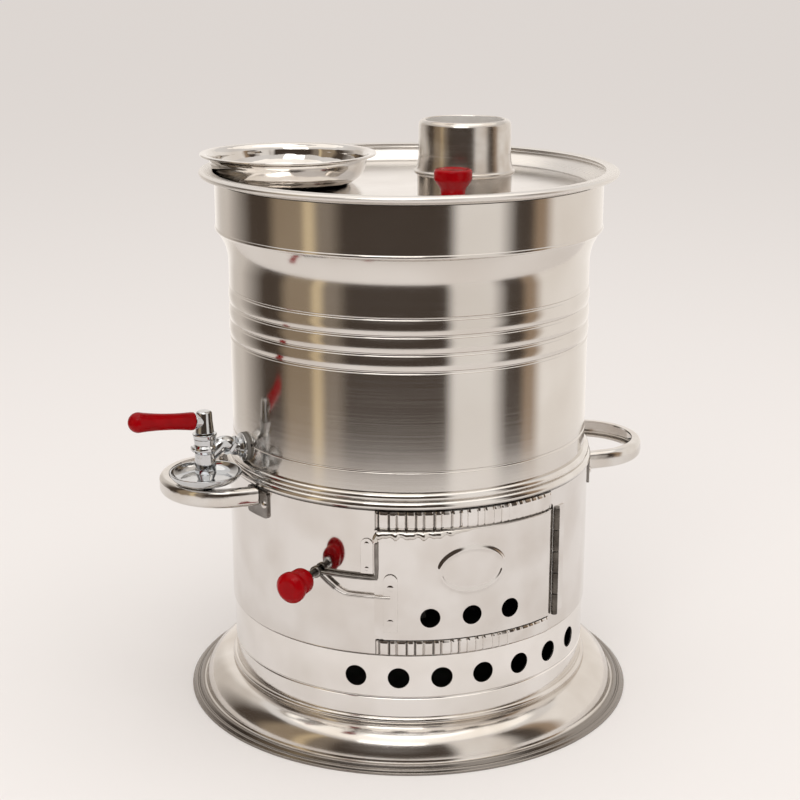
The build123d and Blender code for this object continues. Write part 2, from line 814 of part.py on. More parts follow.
with BuildPart() as door_arm:
    with BuildSketch(outward(door_inner, arm_plate_bearing, arm_plate_bottom)):
        arch_radius = arm_plate_width / 2
        with Locations((0, (arm_plate_height - arch_radius) / 2)):
            Rectangle(arm_plate_width, arm_plate_height - arch_radius)
        with Locations((0, arm_plate_height - arch_radius)):
            Circle(arch_radius)
    extrude(amount=door_thickness + arm_plate_thickness + 1)
    with Locations((0, 0, arm_plate_bottom + arm_plate_height / 2)):
        Cylinder(door_outer, 2 * arm_plate_height, mode=Mode.SUBTRACT)
        Cylinder(plate_face, 2 * arm_plate_height, mode=Mode.INTERSECT)
    hub = polar(arm_line, arm_bearing, arm_height)
    turn = polar(arm_line, arm_turn_bearing, arm_height)
    raised = polar(arm_line, arm_turn_bearing, arm_height + arm_rise)
    bend = polar(arm_line, arm_bend_bearing, arm_low)
    curved_wire(arm_plate_bearing, arm_bearing, arm_height)
    wire(turn, raised, arm_wire_radius - arm_joint_step)
    curved_wire(arm_plate_bearing, arm_bend_bearing, arm_low)
    ball(bend, arm_wire_radius + arm_joint_step)
    wire(bend, hub, arm_wire_radius - arm_joint_step)
    with BuildSketch(outward(arm_line - arm_wire_radius, arm_bearing, arm_height)):
        Circle(arm_hub_radius)
    extrude(amount=arm_hub_length)
    with BuildSketch(outward(arm_line, arm_bearing, arm_height)):
        Circle(door_stem_radius)
    extrude(amount=knob_start + knob_bore_depth - knob_bore_spare - arm_line)
    for z in arm_rivet_heights:
        radial_hole(rivet_radius, plate_face + 1, arm_plate_thickness + 2, arm_plate_bearing, z)
save(door_arm, "door_arm")

door_rivet_sag = rivet_head_radius ** 2 / (2 * door_inner)

with BuildPart() as door_arm_rivets:
    for z in arm_rivet_heights:
        rivet(arm_plate_bearing, z, plate_face + 0.02, door_inner - door_rivet_sag, rivet_radius,
              rivet_head_radius, rivet_head_height)
save(door_arm_rivets, "door_arm_rivets")


def radial_turning(bearing, z, start):
    """Plane for a profile turned about a line that points straight out, from a given reach."""
    frame = outward(start, bearing, z)
    return Plane(origin=frame.origin, x_dir=frame.z_dir, z_dir=frame.x_dir), Axis(frame.origin, frame.z_dir)


with BuildPart() as knob_ferrule:
    side, spindle = radial_turning(arm_bearing, arm_height, ferrule_start)
    with BuildSketch(side):
        with BuildLine():
            Polyline((0, door_stem_radius), (0, ferrule_radius - 0.8), (0.8, ferrule_radius),
                     (ferrule_length - 0.8, ferrule_radius), (ferrule_length, ferrule_radius - 0.5),
                     (ferrule_length, door_stem_radius), close=True)
        make_face()
    revolve(axis=spindle)
save(knob_ferrule, "knob_ferrule")

with BuildPart() as door_knob:
    side, spindle = radial_turning(arm_bearing, arm_height, knob_start)
    length = door_knob_length
    with BuildSketch(side):
        with BuildLine():
            Line((0, door_stem_radius), (0, door_knob_neck))
            Spline((0, door_knob_neck), (length * 0.35, door_knob_neck + 0.4),
                   (length * 0.62, door_knob_radius - 0.6), (length * 0.74, door_knob_radius),
                   (length * 0.88, door_knob_radius - 1.2),
                   (length * 0.97, door_knob_radius * 0.5), (length, 0),
                   tangents=((1, 0), (0, -1)))
            Polyline((length, 0), (knob_bore_depth, 0), (knob_bore_depth, door_stem_radius),
                     (0, door_stem_radius))
        make_face()
    revolve(axis=spindle)
save(door_knob, "door_knob")

# --- Lid ------------------------------------------------------------------------------------------

lid_wall_outer = band_bore - lid_wall_gap
lid_wall_inner = lid_wall_outer - lid_sheet
dish_x = dish_inset - lid_wall_inner
rim_roll = lid_rim_height / 2
rim_centre = (lid_radius - rim_roll, tank_top + lid_flange_rise + rim_roll - 0.6)

with BuildPart() as lid:
    with BuildSketch(Plane.XZ):
        with BuildLine():
            FilletPolyline(
                (0, lid_plate_top), (lid_wall_inner, lid_plate_top),
                (lid_wall_inner, tank_top + lid_sheet), (band_radius + 1.2, tank_top + lid_sheet),
                (lid_radius - rim_roll, tank_top + lid_flange_rise + lid_rim_height - 0.9),
                radius=lid_corner)
            FilletPolyline(
                (0, lid_plate_under), (lid_wall_outer, lid_plate_under),
                (lid_wall_outer, tank_top), (band_radius + 1.2, tank_top),
                (lid_radius - rim_roll, tank_top + lid_flange_rise + 0.9),
                radius=lid_corner / 4)
            Line((lid_radius - rim_roll, tank_top + lid_flange_rise + 0.9),
                 (lid_radius - rim_roll, tank_top + lid_flange_rise + lid_rim_height - 0.9))
            Line((0, lid_plate_under), (0, lid_plate_top))
        make_face()
        with Locations(rim_centre):
            Circle(rim_roll)
    revolve(axis=Axis.Z)
    with BuildSketch(Plane.XY.offset(lid_plate_under)):
        with Locations((flue_x, flue_y)):
            Circle(flue_radius + flue_lid_gap)
        with Locations((dish_x, dish_y)):
            Circle(lid_hole_radius)
        with Locations((lid_knob_x, lid_knob_y)):
            Circle(lid_screw_radius)
    extrude(amount=lid_sheet, mode=Mode.SUBTRACT)
save(lid, "lid")

with BuildPart() as lid_knob:
    knob_top = lid_plate_top + lid_knob_height
    with BuildSketch(upright(lid_knob_x, lid_knob_y)):
        with BuildLine():
            Line((lid_screw_radius, lid_plate_top), (lid_knob_foot, lid_plate_top))
            Spline((lid_knob_foot, lid_plate_top),
                   (lid_knob_foot + 0.1, lid_plate_top + lid_knob_height * 0.3),
                   (lid_knob_foot + 1.2, lid_plate_top + lid_knob_height * 0.58),
                   (lid_knob_radius - 0.5, lid_plate_top + lid_knob_height * 0.74),
                   (lid_knob_radius, lid_plate_top + lid_knob_height * 0.85),
                   (lid_knob_radius - 1.6, knob_top - 0.1), tangents=((-0.1, 1), (-1, 0.25)))
            Line((lid_knob_radius - 1.6, knob_top - 0.1), (lid_knob_radius - 3.0, knob_top))
            Polyline((lid_knob_radius - 3.0, knob_top), (lid_knob_radius - 4.2, knob_top - 0.7),
                     (0, knob_top - 0.4), (0, lid_plate_top + lid_screw_reach),
                     (lid_screw_radius, lid_plate_top + lid_screw_reach), (lid_screw_radius, lid_plate_top))
        make_face()
    revolve(axis=post(lid_knob_x, lid_knob_y))
save(lid_knob, "lid_knob")

with BuildPart() as lid_knob_washer:
    with BuildSketch(Plane.XY.offset(lid_plate_under)):
        with Locations((lid_knob_x, lid_knob_y)):
            Circle(lid_washer_radius)
            Circle(lid_screw_radius, mode=Mode.SUBTRACT)
    extrude(amount=-lid_washer_thickness)
save(lid_knob_washer, "lid_knob_washer")

with BuildPart() as lid_knob_screw:
    head_top = lid_plate_under - lid_washer_thickness
    with BuildSketch(Plane.XY.offset(head_top)):
        with Locations((lid_knob_x, lid_knob_y)):
            Circle(lid_screw_head_radius)
    extrude(amount=-lid_screw_head_height)
    fillet(faces().sort_by(Axis.Z)[0].edges(), radius=1.2)
    with BuildSketch(Plane.XY.offset(head_top - lid_screw_head_height)):
        with Locations((lid_knob_x, lid_knob_y)):
            Rectangle(2 * lid_screw_head_radius, 1.0)
    extrude(amount=1.0, mode=Mode.SUBTRACT)
    with BuildSketch(Plane.XY.offset(head_top)):
        with Locations((lid_knob_x, lid_knob_y)):
            Circle(lid_screw_radius)
    extrude(amount=lid_plate_top + lid_screw_reach - head_top - 0.5)
save(lid_knob_screw, "lid_knob_screw")

with BuildPart() as chimney_collar:
    bore = flue_radius + collar_gap
    top = lid_plate_top + collar_height
    bead = lid_plate_top + collar_bead_height
    upper = collar_radius - 0.5
    with BuildSketch(upright(flue_x, flue_y)):
        with BuildLine():
            Line((bore, lid_plate_top), (collar_radius, lid_plate_top))
            Line((collar_radius, lid_plate_top), (collar_radius, bead - collar_bead_half))
            ThreePointArc((collar_radius, bead - collar_bead_half), (collar_radius + collar_bead_rise, bead),
                          (upper, bead + collar_bead_half))
            Line((upper, bead + collar_bead_half), (upper, top - collar_roll))
            CenterArc((upper - collar_roll, top - collar_roll), collar_roll, 0, 90)
            ThreePointArc((upper - collar_roll, top),
                          (upper - collar_roll - collar_lip / 2, top - collar_lip / 2),
                          (upper - collar_roll, top - collar_lip))
            Polyline((upper - collar_roll, top - collar_lip), (bore, top - collar_roll - collar_lip),
                     (bore, lid_plate_top))
        make_face()
    revolve(axis=post(flue_x, flue_y))
save(chimney_collar, "chimney_collar")

with BuildPart() as dish:
    dish_bowl_radius = dish_radius - dish_lip_width
    dish_foot_radius = dish_bowl_radius - dish_belly
    foot_z = lid_plate_top
    rim_z = lid_plate_top + dish_height
    shoulder = (dish_bowl_radius, rim_z - 3.4)
    with BuildSketch(upright(dish_x, dish_y)):
        with BuildLine():
            Line((0, foot_z), (dish_foot_radius, foot_z))
            ThreePointArc((dish_foot_radius, foot_z), (dish_foot_radius + 6.6, foot_z + 6.4), shoulder)
            Spline(shoulder, (dish_bowl_radius + 2.4, rim_z - 0.9), (dish_radius - 0.4, rim_z - 0.4),
                   tangents=((0.6, 1), (1, -0.1)))
            Line((dish_radius - 0.4, rim_z - 0.4), (dish_radius - 0.4, rim_z - 0.4 + dish_sheet))
            Spline((dish_radius - 0.4, rim_z - 0.4 + dish_sheet),
                   (dish_bowl_radius + 1.8, rim_z - 0.1 + dish_sheet * 0.4),
                   (dish_bowl_radius - dish_sheet, rim_z - 3.0), tangents=((-1, 0.1), (-0.6, -1)))
            ThreePointArc((dish_bowl_radius - dish_sheet, rim_z - 3.0),
                          (dish_foot_radius + 5.8, foot_z + 6.8 + dish_sheet * 0.2),
                          (dish_foot_radius - 0.6, foot_z + dish_sheet))
            Polyline((dish_foot_radius - 0.6, foot_z + dish_sheet), (0, foot_z + dish_sheet), (0, foot_z))
        make_face()
        with Locations((dish_radius - 0.7, rim_z)):
            Circle(0.7)
    revolve(axis=post(dish_x, dish_y))
save(dish, "dish")

# --- Tap ------------------------------------------------------------------------------------------

tap_reach = gasket_outer + neck_length
barrel_bottom = tap_height - barrel_drop
barrel_top = tap_height + barrel_rise
barrel_flange_bottom = tap_height + barrel_flange_rise
plug_bottom = barrel_bottom + plug_seat
lever_bottom = barrel_top + gland_height + lever_gap
tap_out = polar(1, tap_bearing)
tap_side = Plane(origin=(0, 0, 0), x_dir=tap_out, z_dir=tap_out.cross(Vector(0, 0, 1)))
tap_post = Axis(polar(tap_reach, tap_bearing), (0, 0, 1))
tap_plug_plane = Plane(origin=polar(tap_reach, tap_bearing), x_dir=tap_out,
                       z_dir=tap_out.cross(Vector(0, 0, 1)))
tap_spindle = Axis((0, 0, tap_height), tap_out)
spigot_start = tank_radius - spigot_inside
neck_bend_reach = gasket_outer + neck_run
neck_top_reach = neck_bend_reach + neck_climb
neck_top_height = tap_height + neck_rise
neck_end_height = tap_height - neck_fall


with BuildPart() as tap_gasket:
    with BuildSketch(outward(tank_radius - 3, tap_bearing, tap_height)):
        Circle(gasket_radius)
        Circle(spigot_radius, mode=Mode.SUBTRACT)
    extrude(amount=3 + gasket_thickness)
    with Locations((0, 0, tap_height)):
        Cylinder(tank_radius, 3 * gasket_radius, mode=Mode.SUBTRACT)
save(tap_gasket, "tap_gasket")

inner_gasket_inner = tank_bore - gasket_thickness - 0.6

with BuildPart() as inner_gasket:
    with BuildSketch(outward(inner_gasket_inner, tap_bearing, tap_height)):
        Circle(gasket_radius)
        Circle(spigot_radius, mode=Mode.SUBTRACT)
    extrude(amount=6)
    with Locations((0, 0, tap_height)):
        Cylinder(tank_bore, 3 * gasket_radius, mode=Mode.INTERSECT)
save(inner_gasket, "inner_gasket")

with BuildPart() as tap_locknut:
    with BuildSketch(outward(inner_gasket_inner, tap_bearing, tap_height)):
        RegularPolygon(locknut_radius, 6)
        Circle(spigot_radius, mode=Mode.SUBTRACT)
    extrude(amount=-locknut_thickness)
save(tap_locknut, "tap_locknut")

with BuildPart() as tap_escutcheon:
    bell_end = gasket_outer + bell_length
    bell_top = tap_height + bell_radius
    bell_neck = tap_height + neck_radius + 0.6
    with BuildSketch(tap_side):
        with BuildLine():
            Polyline((gasket_outer, tap_height + neck_radius), (gasket_outer, bell_top),
                     (gasket_outer + bell_rim, bell_top))
            ThreePointArc((gasket_outer + bell_rim, bell_top),
                          (gasket_outer + bell_rim + 0.7, bell_neck + 0.8), (bell_end, bell_neck))
            Polyline((bell_end, bell_neck), (bell_end, tap_height + neck_radius),
                     (gasket_outer, tap_height + neck_radius))
        make_face()
    revolve(axis=tap_spindle)
save(tap_escutcheon, "tap_escutcheon")

neck_slope = (neck_end_height - neck_top_height) / (tap_reach - neck_top_reach)
neck_points = [(gasket_outer, tap_height), (neck_bend_reach, tap_height),
               (neck_top_reach, neck_top_height), (tap_reach, neck_end_height)]
port_height = neck_top_height + neck_slope * (tap_reach - plug_top_radius - neck_top_reach)
spout_bottom = barrel_bottom - spout_length
flange_top = barrel_flange_bottom + barrel_flange_height

with BuildPart() as tap_body:
    with BuildSketch(outward(spigot_start, tap_bearing, tap_height)):
        Circle(spigot_radius)
    extrude(amount=gasket_outer - spigot_start)
    with BuildLine(tap_side) as neck:
        FilletPolyline(*neck_points, radius=neck_bend)
    with BuildSketch(outward(gasket_outer, tap_bearing, tap_height)):
        Circle(neck_radius)
    sweep(path=neck.wires()[0])
    with BuildSketch(tap_plug_plane):
        with BuildLine():
            Polyline((0, barrel_bottom), (spout_radius, barrel_bottom),
                     (barrel_outer - 0.8, barrel_bottom + 1.2), (barrel_outer, barrel_bottom + 4),
                     (barrel_outer, barrel_flange_bottom - 0.8),
                     (barrel_flange_radius - 0.5, barrel_flange_bottom),
                     (barrel_flange_radius, barrel_flange_bottom + 0.6),
                     (barrel_flange_radius, flange_top - 0.6),
                     (barrel_flange_radius - 0.6, flange_top), (barrel_outer, flange_top + 0.4),
                     (barrel_outer, barrel_top), (0, barrel_top), close=True)
        make_face()
    revolve(axis=tap_post)
    with BuildSketch(Plane.XY.offset(barrel_bottom)):
        with Locations(polar(tap_reach, tap_bearing)):
            Circle(spout_radius)
    extrude(amount=-spout_length)
    fillet(faces().sort_by(Axis.Z)[0].edges(), radius=1.0)
    with BuildSketch(tap_plug_plane):
        with BuildLine():
            Polyline((0, barrel_top + 1), (plug_top_radius + plug_clearance, barrel_top + 1),
                     (plug_top_radius + plug_clearance, barrel_top),
                     (plug_bottom_radius + plug_clearance, plug_bottom),
                     (plug_bottom_radius + plug_clearance, plug_bottom - plug_headroom),
                     (spout_bore, plug_bottom - plug_headroom), (spout_bore, spout_bottom - 1),
                     (0, spout_bottom - 1), close=True)
        make_face()
    revolve(axis=tap_post, mode=Mode.SUBTRACT)
    with BuildSketch(outward(spigot_start, tap_bearing, tap_height)):
        Circle(spigot_bore)
    extrude(amount=gasket_outer - spigot_start, mode=Mode.SUBTRACT)
    with BuildSketch(outward(gasket_outer, tap_bearing, tap_height)):
        Circle(spigot_bore)
    sweep(path=neck.wires()[0], mode=Mode.SUBTRACT)
save(tap_body, "tap_body")

# The collar nut sits square on the rising stretch of the neck.
rise_angle = atan2(neck_top_height - tap_height, neck_top_reach - neck_bend_reach)
nut_reach = neck_bend_reach + collar_nut_offset * cos(rise_angle)
nut_height = tap_height + collar_nut_offset * sin(rise_angle)
nut_axis = tap_out * cos(rise_angle) + Vector(0, 0, sin(rise_angle))

with BuildPart() as tap_hex_nut:
    with BuildSketch(Plane(origin=polar(nut_reach, tap_bearing, nut_height),
                           x_dir=tap_out.cross(Vector(0, 0, 1)), z_dir=nut_axis)):
        RegularPolygon(collar_nut_radius, 6)
        Circle(neck_radius, mode=Mode.SUBTRACT)
    extrude(amount=collar_nut_length)
save(tap_hex_nut, "tap_hex_nut")

with BuildPart() as drip_cup:
    cup_bottom = barrel_bottom - cup_sheet
    cup_rim = cup_bottom + cup_height
    hem = cup_sheet / 2
    with BuildSketch(tap_plug_plane):
        with BuildLine():
            Line((spout_radius, cup_bottom), (cup_foot_radius, cup_bottom))
            ThreePointArc((cup_foot_radius, cup_bottom), (cup_radius - 2.0, cup_bottom + 1.8),
                          (cup_radius, cup_rim))
            CenterArc((cup_radius - hem, cup_rim), hem, 0, 180)
            ThreePointArc((cup_radius - 2 * hem, cup_rim), (cup_radius - 3.0, cup_bottom + 2.5),
                          (cup_foot_radius, cup_bottom + cup_sheet))
            Polyline((cup_foot_radius, cup_bottom + cup_sheet), (spout_radius, cup_bottom + cup_sheet),
                     (spout_radius, cup_bottom))
        make_face()
    revolve(axis=tap_post)
save(drip_cup, "drip_cup")

with BuildPart() as gland_nut:
    gland_top = barrel_top + gland_height
    gland_bore = stem_radius + stem_clearance
    with BuildSketch(tap_plug_plane):
        with BuildLine():
            Polyline((gland_bore, barrel_top), (gland_waist, barrel_top), (gland_waist, barrel_top + 0.8),
                     (gland_radius, gland_top - 0.8), (gland_radius, gland_top), (gland_bore, gland_top),
                     close=True)
        make_face()
    revolve(axis=tap_post)
save(gland_nut, "gland_nut")

with BuildPart() as tap_plug:
    plug_shoulder = barrel_top - plug_headroom
    with BuildSketch(tap_plug_plane):
        with BuildLine():
            Polyline((0, plug_bottom), (plug_bottom_radius, plug_bottom), (plug_top_radius, barrel_top),
                     (0, barrel_top), close=True)
        make_face()
    revolve(axis=tap_post)
    with Locations(polar(tap_reach, tap_bearing, barrel_top)):
        Cylinder(2 * plug_top_radius, 2 * plug_headroom, mode=Mode.SUBTRACT)
    with BuildSketch(Plane.XY.offset(plug_shoulder)):
        with Locations(polar(tap_reach, tap_bearing)):
            Circle(stem_radius)
    extrude(amount=lever_bottom - plug_shoulder)
    with BuildSketch(Plane.XY.offset(plug_bottom)):
        with Locations(polar(tap_reach, tap_bearing)):
            Circle(port_radius)
    extrude(amount=port_height + port_radius - plug_bottom, mode=Mode.SUBTRACT)
    with BuildSketch(Plane(origin=polar(tap_reach, tap_bearing, port_height), z_dir=tap_side.z_dir)):
        Circle(port_radius)
    extrude(amount=2 * plug_top_radius, mode=Mode.SUBTRACT)
save(tap_plug, "tap_plug")

lever_axis_height = lever_bottom + lever_height / 2
rod_out = tap_out * cos(radians(lever_tilt)) + Vector(0, 0, sin(radians(lever_tilt)))
rod_root = polar(tap_reach, tap_bearing, lever_axis_height)
rod_plane = Plane(origin=rod_root, x_dir=tap_side.z_dir, z_dir=rod_out)
rod_side = Plane(origin=rod_root, x_dir=rod_out, z_dir=tap_side.z_dir)
grip_end = grip_start + grip_length
rod_end = grip_start + lever_rod_length

with BuildPart() as tap_lever:
    with BuildSketch(Plane.XY.offset(lever_bottom)):
        with Locations(polar(tap_reach, tap_bearing)):
            Circle(lever_radius)
    extrude(amount=lever_height)
    fillet(faces().sort_by(Axis.Z)[-1].edges(), radius=1.6)
    with BuildSketch(rod_plane):
        Circle(lever_socket_radius)
    extrude(amount=grip_start)
    with BuildSketch(rod_plane.offset(grip_start)):
        Circle(lever_rod_radius)
    extrude(amount=lever_rod_length)
save(tap_lever, "tap_lever")

with BuildPart() as lever_grip:
    with BuildSketch(rod_side):
        with BuildLine():
            Polyline((grip_start, lever_rod_radius), (grip_start, grip_radius - 0.6),
                     (grip_start + 0.8, grip_radius))
            Spline((grip_start + 0.8, grip_radius), (grip_start + grip_length * 0.45, grip_radius - 0.35),
                   (grip_end - grip_end_radius * 0.9, grip_end_radius),
                   (grip_end - 1.2, grip_end_radius * 0.6), (grip_end, 0), tangents=((1, -0.02), (0, -1)))
            Polyline((grip_end, 0), (rod_end, 0), (rod_end, lever_rod_radius), (grip_start, lever_rod_radius))
        make_face()
    revolve(axis=Axis(rod_root, rod_out))
save(lever_grip, "lever_grip")
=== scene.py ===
# %% [markdown]
# # A portable samovar
#
# A samovar of this kind is a drum of stainless sheet: a foot, a firebox with a small door, and a water tank
# with a flue through it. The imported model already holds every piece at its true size. This lesson gives the
# pieces their turned, pressed and polished surfaces, and sets them under plain studio light.
#
# Sizes are written in millimetres, and MM turns them to metres where a mesh is made. Heights are above the
# table. A bearing is an angle in degrees from the door's side (-Y) towards +X.

# %% Load the frame
from math import asin, atan2, ceil, cos, degrees, hypot, pi, radians, sin, tan

import bmesh
import bpy
from bmesh.types import BMEdge, BMFace, BMVert
from mathutils import Matrix, Vector


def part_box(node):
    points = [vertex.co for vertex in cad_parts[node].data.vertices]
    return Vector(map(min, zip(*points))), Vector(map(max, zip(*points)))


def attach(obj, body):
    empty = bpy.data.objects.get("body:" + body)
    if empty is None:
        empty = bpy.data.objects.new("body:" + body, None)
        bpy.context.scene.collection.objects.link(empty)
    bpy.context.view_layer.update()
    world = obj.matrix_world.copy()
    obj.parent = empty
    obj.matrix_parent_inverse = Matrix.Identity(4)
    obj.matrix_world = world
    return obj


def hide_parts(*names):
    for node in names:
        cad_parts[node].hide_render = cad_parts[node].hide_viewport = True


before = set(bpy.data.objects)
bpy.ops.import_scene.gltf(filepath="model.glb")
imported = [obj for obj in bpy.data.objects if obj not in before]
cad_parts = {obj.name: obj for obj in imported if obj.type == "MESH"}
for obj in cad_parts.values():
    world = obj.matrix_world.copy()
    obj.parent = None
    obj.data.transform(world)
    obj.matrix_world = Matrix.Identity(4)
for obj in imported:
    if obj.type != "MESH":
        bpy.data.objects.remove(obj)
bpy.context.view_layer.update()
MM = 0.001
print("nodes in the frame:", len(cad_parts))

# %% [markdown]
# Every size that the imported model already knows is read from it, so that a new piece lies exactly where the
# solid does. `size_of` gives the lowest and highest corner of a node in millimetres.

# %% Sizes from the frame
def size_of(node):
    low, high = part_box(node)
    return low / MM, high / MM


foot_high = size_of("base_flange")[1]
vent_low, vent_high = size_of("vent_ring")
firebox_low, firebox_high = size_of("firebox_shell")
seam_low, seam_high = size_of("seam_bead")
tank_low, tank_high = size_of("tank_shell")
lid_high = size_of("lid")[1]

TANK_INSET = 2.5
BAND_STEP = 7.0
FOOT_R = foot_high.x
FIREBOX_R = firebox_high.x
VENT_R = vent_high.x
TANK_R = FIREBOX_R - TANK_INSET
BAND_R = TANK_R + BAND_STEP
LID_R = lid_high.x
SHEET = 1.0
TANK_SHEET = 1.2
print("radii: foot", round(FOOT_R, 1), "firebox", round(FIREBOX_R, 1), "lid", round(LID_R, 1))

# %% [markdown]
# ## Helpers for shapes
#
# Most of the object is turned or pressed sheet, so most pieces begin as an outline of radius and height
# that is spun round an upright axis. `soft_line` rounds the corners of such an outline: each point carries
# the radius of its own bend, as a sheet-metal drawing does. `arc` and `through` draw pressed curves, from a
# centre or through three points.

# %% Outlines
BEND_STEP = 9


def at(*corners):
    """Sharp corners of an outline."""
    return [Vector(corner) for corner in corners]


def soft_line(*corners):
    """Outline through (radius, height, bend) corners, with each bend drawn as an arc."""
    points = []
    for index, (x, z, bend) in enumerate(corners):
        here = Vector((x, z))
        if bend == 0:
            points.append(here)
            continue
        back = (Vector(corners[index - 1][:2]) - here).normalized()
        ahead = (Vector(corners[(index + 1) % len(corners)][:2]) - here).normalized()
        half = back.angle(ahead) / 2
        middle = here + (back + ahead).normalized() * bend / sin(half)
        start = here + back * bend / tan(half) - middle
        turn = start.angle_signed(here + ahead * bend / tan(half) - middle)
        steps = max(2, ceil(abs(degrees(turn)) / BEND_STEP))
        for step in range(steps + 1):
            points.append(middle + Matrix.Rotation(-turn * step / steps, 2) @ start)
    return points


def arc(cx, cz, radius, start, end, steps=12):
    """Points of an arc in the outline's plane, from one angle to another in degrees."""
    turn = [radians(start + (end - start) * k / steps) for k in range(steps + 1)]
    return [Vector((cx + radius * cos(a), cz + radius * sin(a))) for a in turn]


def through(a, b, c, steps=12):
    """Points of the arc that runs from a through b to c."""
    (ax, az), (bx, bz), (cx, cz) = a, b, c
    area = 2 * (ax * (bz - cz) + bx * (cz - az) + cx * (az - bz))
    square_a, square_b, square_c = ax * ax + az * az, bx * bx + bz * bz, cx * cx + cz * cz
    middle = Vector((square_a * (bz - cz) + square_b * (cz - az) + square_c * (az - bz),
                     square_a * (cx - bx) + square_b * (ax - cx) + square_c * (bx - ax))) / area
    start, mid, end = [atan2(z - middle.y, x - middle.x) for x, z in (a, b, c)]
    turn = (end - start) % (2 * pi)
    if (mid - start) % (2 * pi) > turn:
        turn -= 2 * pi
    spoke = Vector(a) - middle
    return [middle + Matrix.Rotation(turn * k / steps, 2) @ spoke for k in range(steps + 1)]


print("a right-angle bend gets", len(soft_line((0, 0, 0), (5, 0, 2), (5, 5, 0))) - 2, "points")

# %% [markdown]
# `spun` does the turning with one bmesh operator. The outline is closed, so it gives a shell with a real
# thickness. The steps are many, because a polished cylinder shows every flat in its reflections. `polar` and
# `outward` place things on the drum by their bearing.

# %% Spinning and placing
WELD = 1e-6


def facing_out(bm):
    """The same bmesh, with its faces turned outwards."""
    bmesh.ops.recalc_face_normals(bm, faces=bm.faces)
    return bm


def spun(outline, steps=256, centre=(0, 0), angle=360):
    """New bmesh: a closed outline of (radius, height) in millimetres, turned round an upright axis."""
    bm = bmesh.new()
    ring = [bm.verts.new(((centre[0] + p[0]) * MM, centre[1] * MM, p[1] * MM)) for p in outline]
    edges = [bm.edges.new(pair) for pair in zip(ring, ring[1:] + ring[:1])]
    bmesh.ops.spin(bm, geom=ring + edges, cent=(centre[0] * MM, centre[1] * MM, 0), axis=(0, 0, 1),
                   angle=radians(angle), steps=steps, use_merge=angle == 360)
    bmesh.ops.remove_doubles(bm, verts=bm.verts, dist=WELD)
    bmesh.ops.delete(bm, geom=[e for e in bm.edges if not e.link_faces], context="EDGES")
    return facing_out(bm)


def polar(reach, bearing, z=0.0):
    """Point at a bearing, in metres."""
    return Vector((reach * sin(radians(bearing)), -reach * cos(radians(bearing)), z)) * MM


def outward(reach, bearing, z):
    """Matrix that stands a local +Z on the drum's wall, pointing out, with local +Y up."""
    out = polar(1, bearing).normalized()
    across = Vector((cos(radians(bearing)), sin(radians(bearing)), 0))
    matrix = Matrix((across, Vector((0, 0, 1)), out)).transposed().to_4x4()
    matrix.translation = polar(reach, bearing, z)
    return matrix


def moved(bm, matrix):
    """The same bmesh, placed by a matrix."""
    bmesh.ops.transform(bm, matrix=matrix, verts=bm.verts)
    return bm


print("bearing 90 points along", [round(part, 3) for part in polar(1 / MM, 90)])

# %% [markdown]
# A bmesh becomes a mesh, and a mesh becomes an object, in the same few lines each time: these are the first
# two helpers. Holes are punched with a boolean, as a punch goes through sheet. One mesh holds all the
# punches, and the result is read back as a plain mesh, so that no live modifier is left to slow the scene.

# %% Joining and punching
def as_mesh(name, bm):
    """Mesh that takes over a bmesh."""
    mesh = bpy.data.meshes.new(name)
    bm.to_mesh(mesh)
    bm.free()
    return mesh


def in_scene(name, data):
    """Object in the scene for a mesh, a curve, a lamp or a camera."""
    made = bpy.data.objects.new(name, data)
    bpy.context.scene.collection.objects.link(made)
    return made


def joined(*parts):
    """One bmesh that holds several."""
    whole = bmesh.new()
    for part in parts:
        mesh = as_mesh("part", part)
        whole.from_mesh(mesh)
        bpy.data.meshes.remove(mesh)
    return whole


def punched(bm, punches):
    """The bmesh with the punches' volume taken out."""
    sheet, tool = [in_scene("work", as_mesh("work", shape)) for shape in (bm, punches)]
    cut = sheet.modifiers.new("punch", "BOOLEAN")
    cut.operation = "DIFFERENCE"
    cut.solver = "EXACT"
    cut.object = tool
    result = bmesh.new()
    result.from_object(sheet, bpy.context.evaluated_depsgraph_get())
    for mesh in (sheet.data, tool.data):
        bpy.data.meshes.remove(mesh)
    return result


def add_pin(bm, radius, depth, matrix, segments):
    """Add a round pin to a bmesh, centred on a matrix."""
    bmesh.ops.create_cone(bm, cap_ends=True, segments=segments, radius1=radius * MM, radius2=radius * MM,
                          depth=depth * MM, matrix=matrix)


def punch_pins(radius, depth, places, segments=48):
    """Round punches: one for each (reach, bearing, height)."""
    pins = bmesh.new()
    for place in places:
        add_pin(pins, radius, depth, outward(*place), segments)
    return pins


pin = punch_pins(1, 1, [(FIREBOX_R, 0, 0)])
print("one punch has", len(pin.faces), "faces")
pin.free()

# %% [markdown]
# ## Helpers for materials
#
# A material here is a few nodes round one shader. `add_node` adds a node with its settings. `set_inputs`
# links an input when its value is a node or a node's output, so that a material reads from top to bottom.

# %% Material helpers
def srgb(code):
    """Linear colour for an sRGB hex code such as #C8C6C2."""
    parts = [int(code[k:k + 2], 16) / 255 for k in (1, 3, 5)]
    return [c / 12.92 if c <= 0.04045 else ((c + 0.055) / 1.055) ** 2.4 for c in parts] + [1.0]


def set_inputs(tree, node, values):
    """Give inputs their values or links; a node given as a value stands for its first live output."""
    for key, value in values.items():
        if isinstance(value, bpy.types.Node):
            value = next(output for output in value.outputs if output.enabled)
        if isinstance(value, bpy.types.NodeSocket):
            tree.links.new(value, node.inputs[key])
        else:
            node.inputs[key].default_value = value


def add_node(tree, kind, inputs=None, **settings):
    """New node with its settings and inputs."""
    made = tree.nodes.new(kind)
    for key, value in settings.items():
        setattr(made, key, value)
    set_inputs(tree, made, inputs or {})
    return made


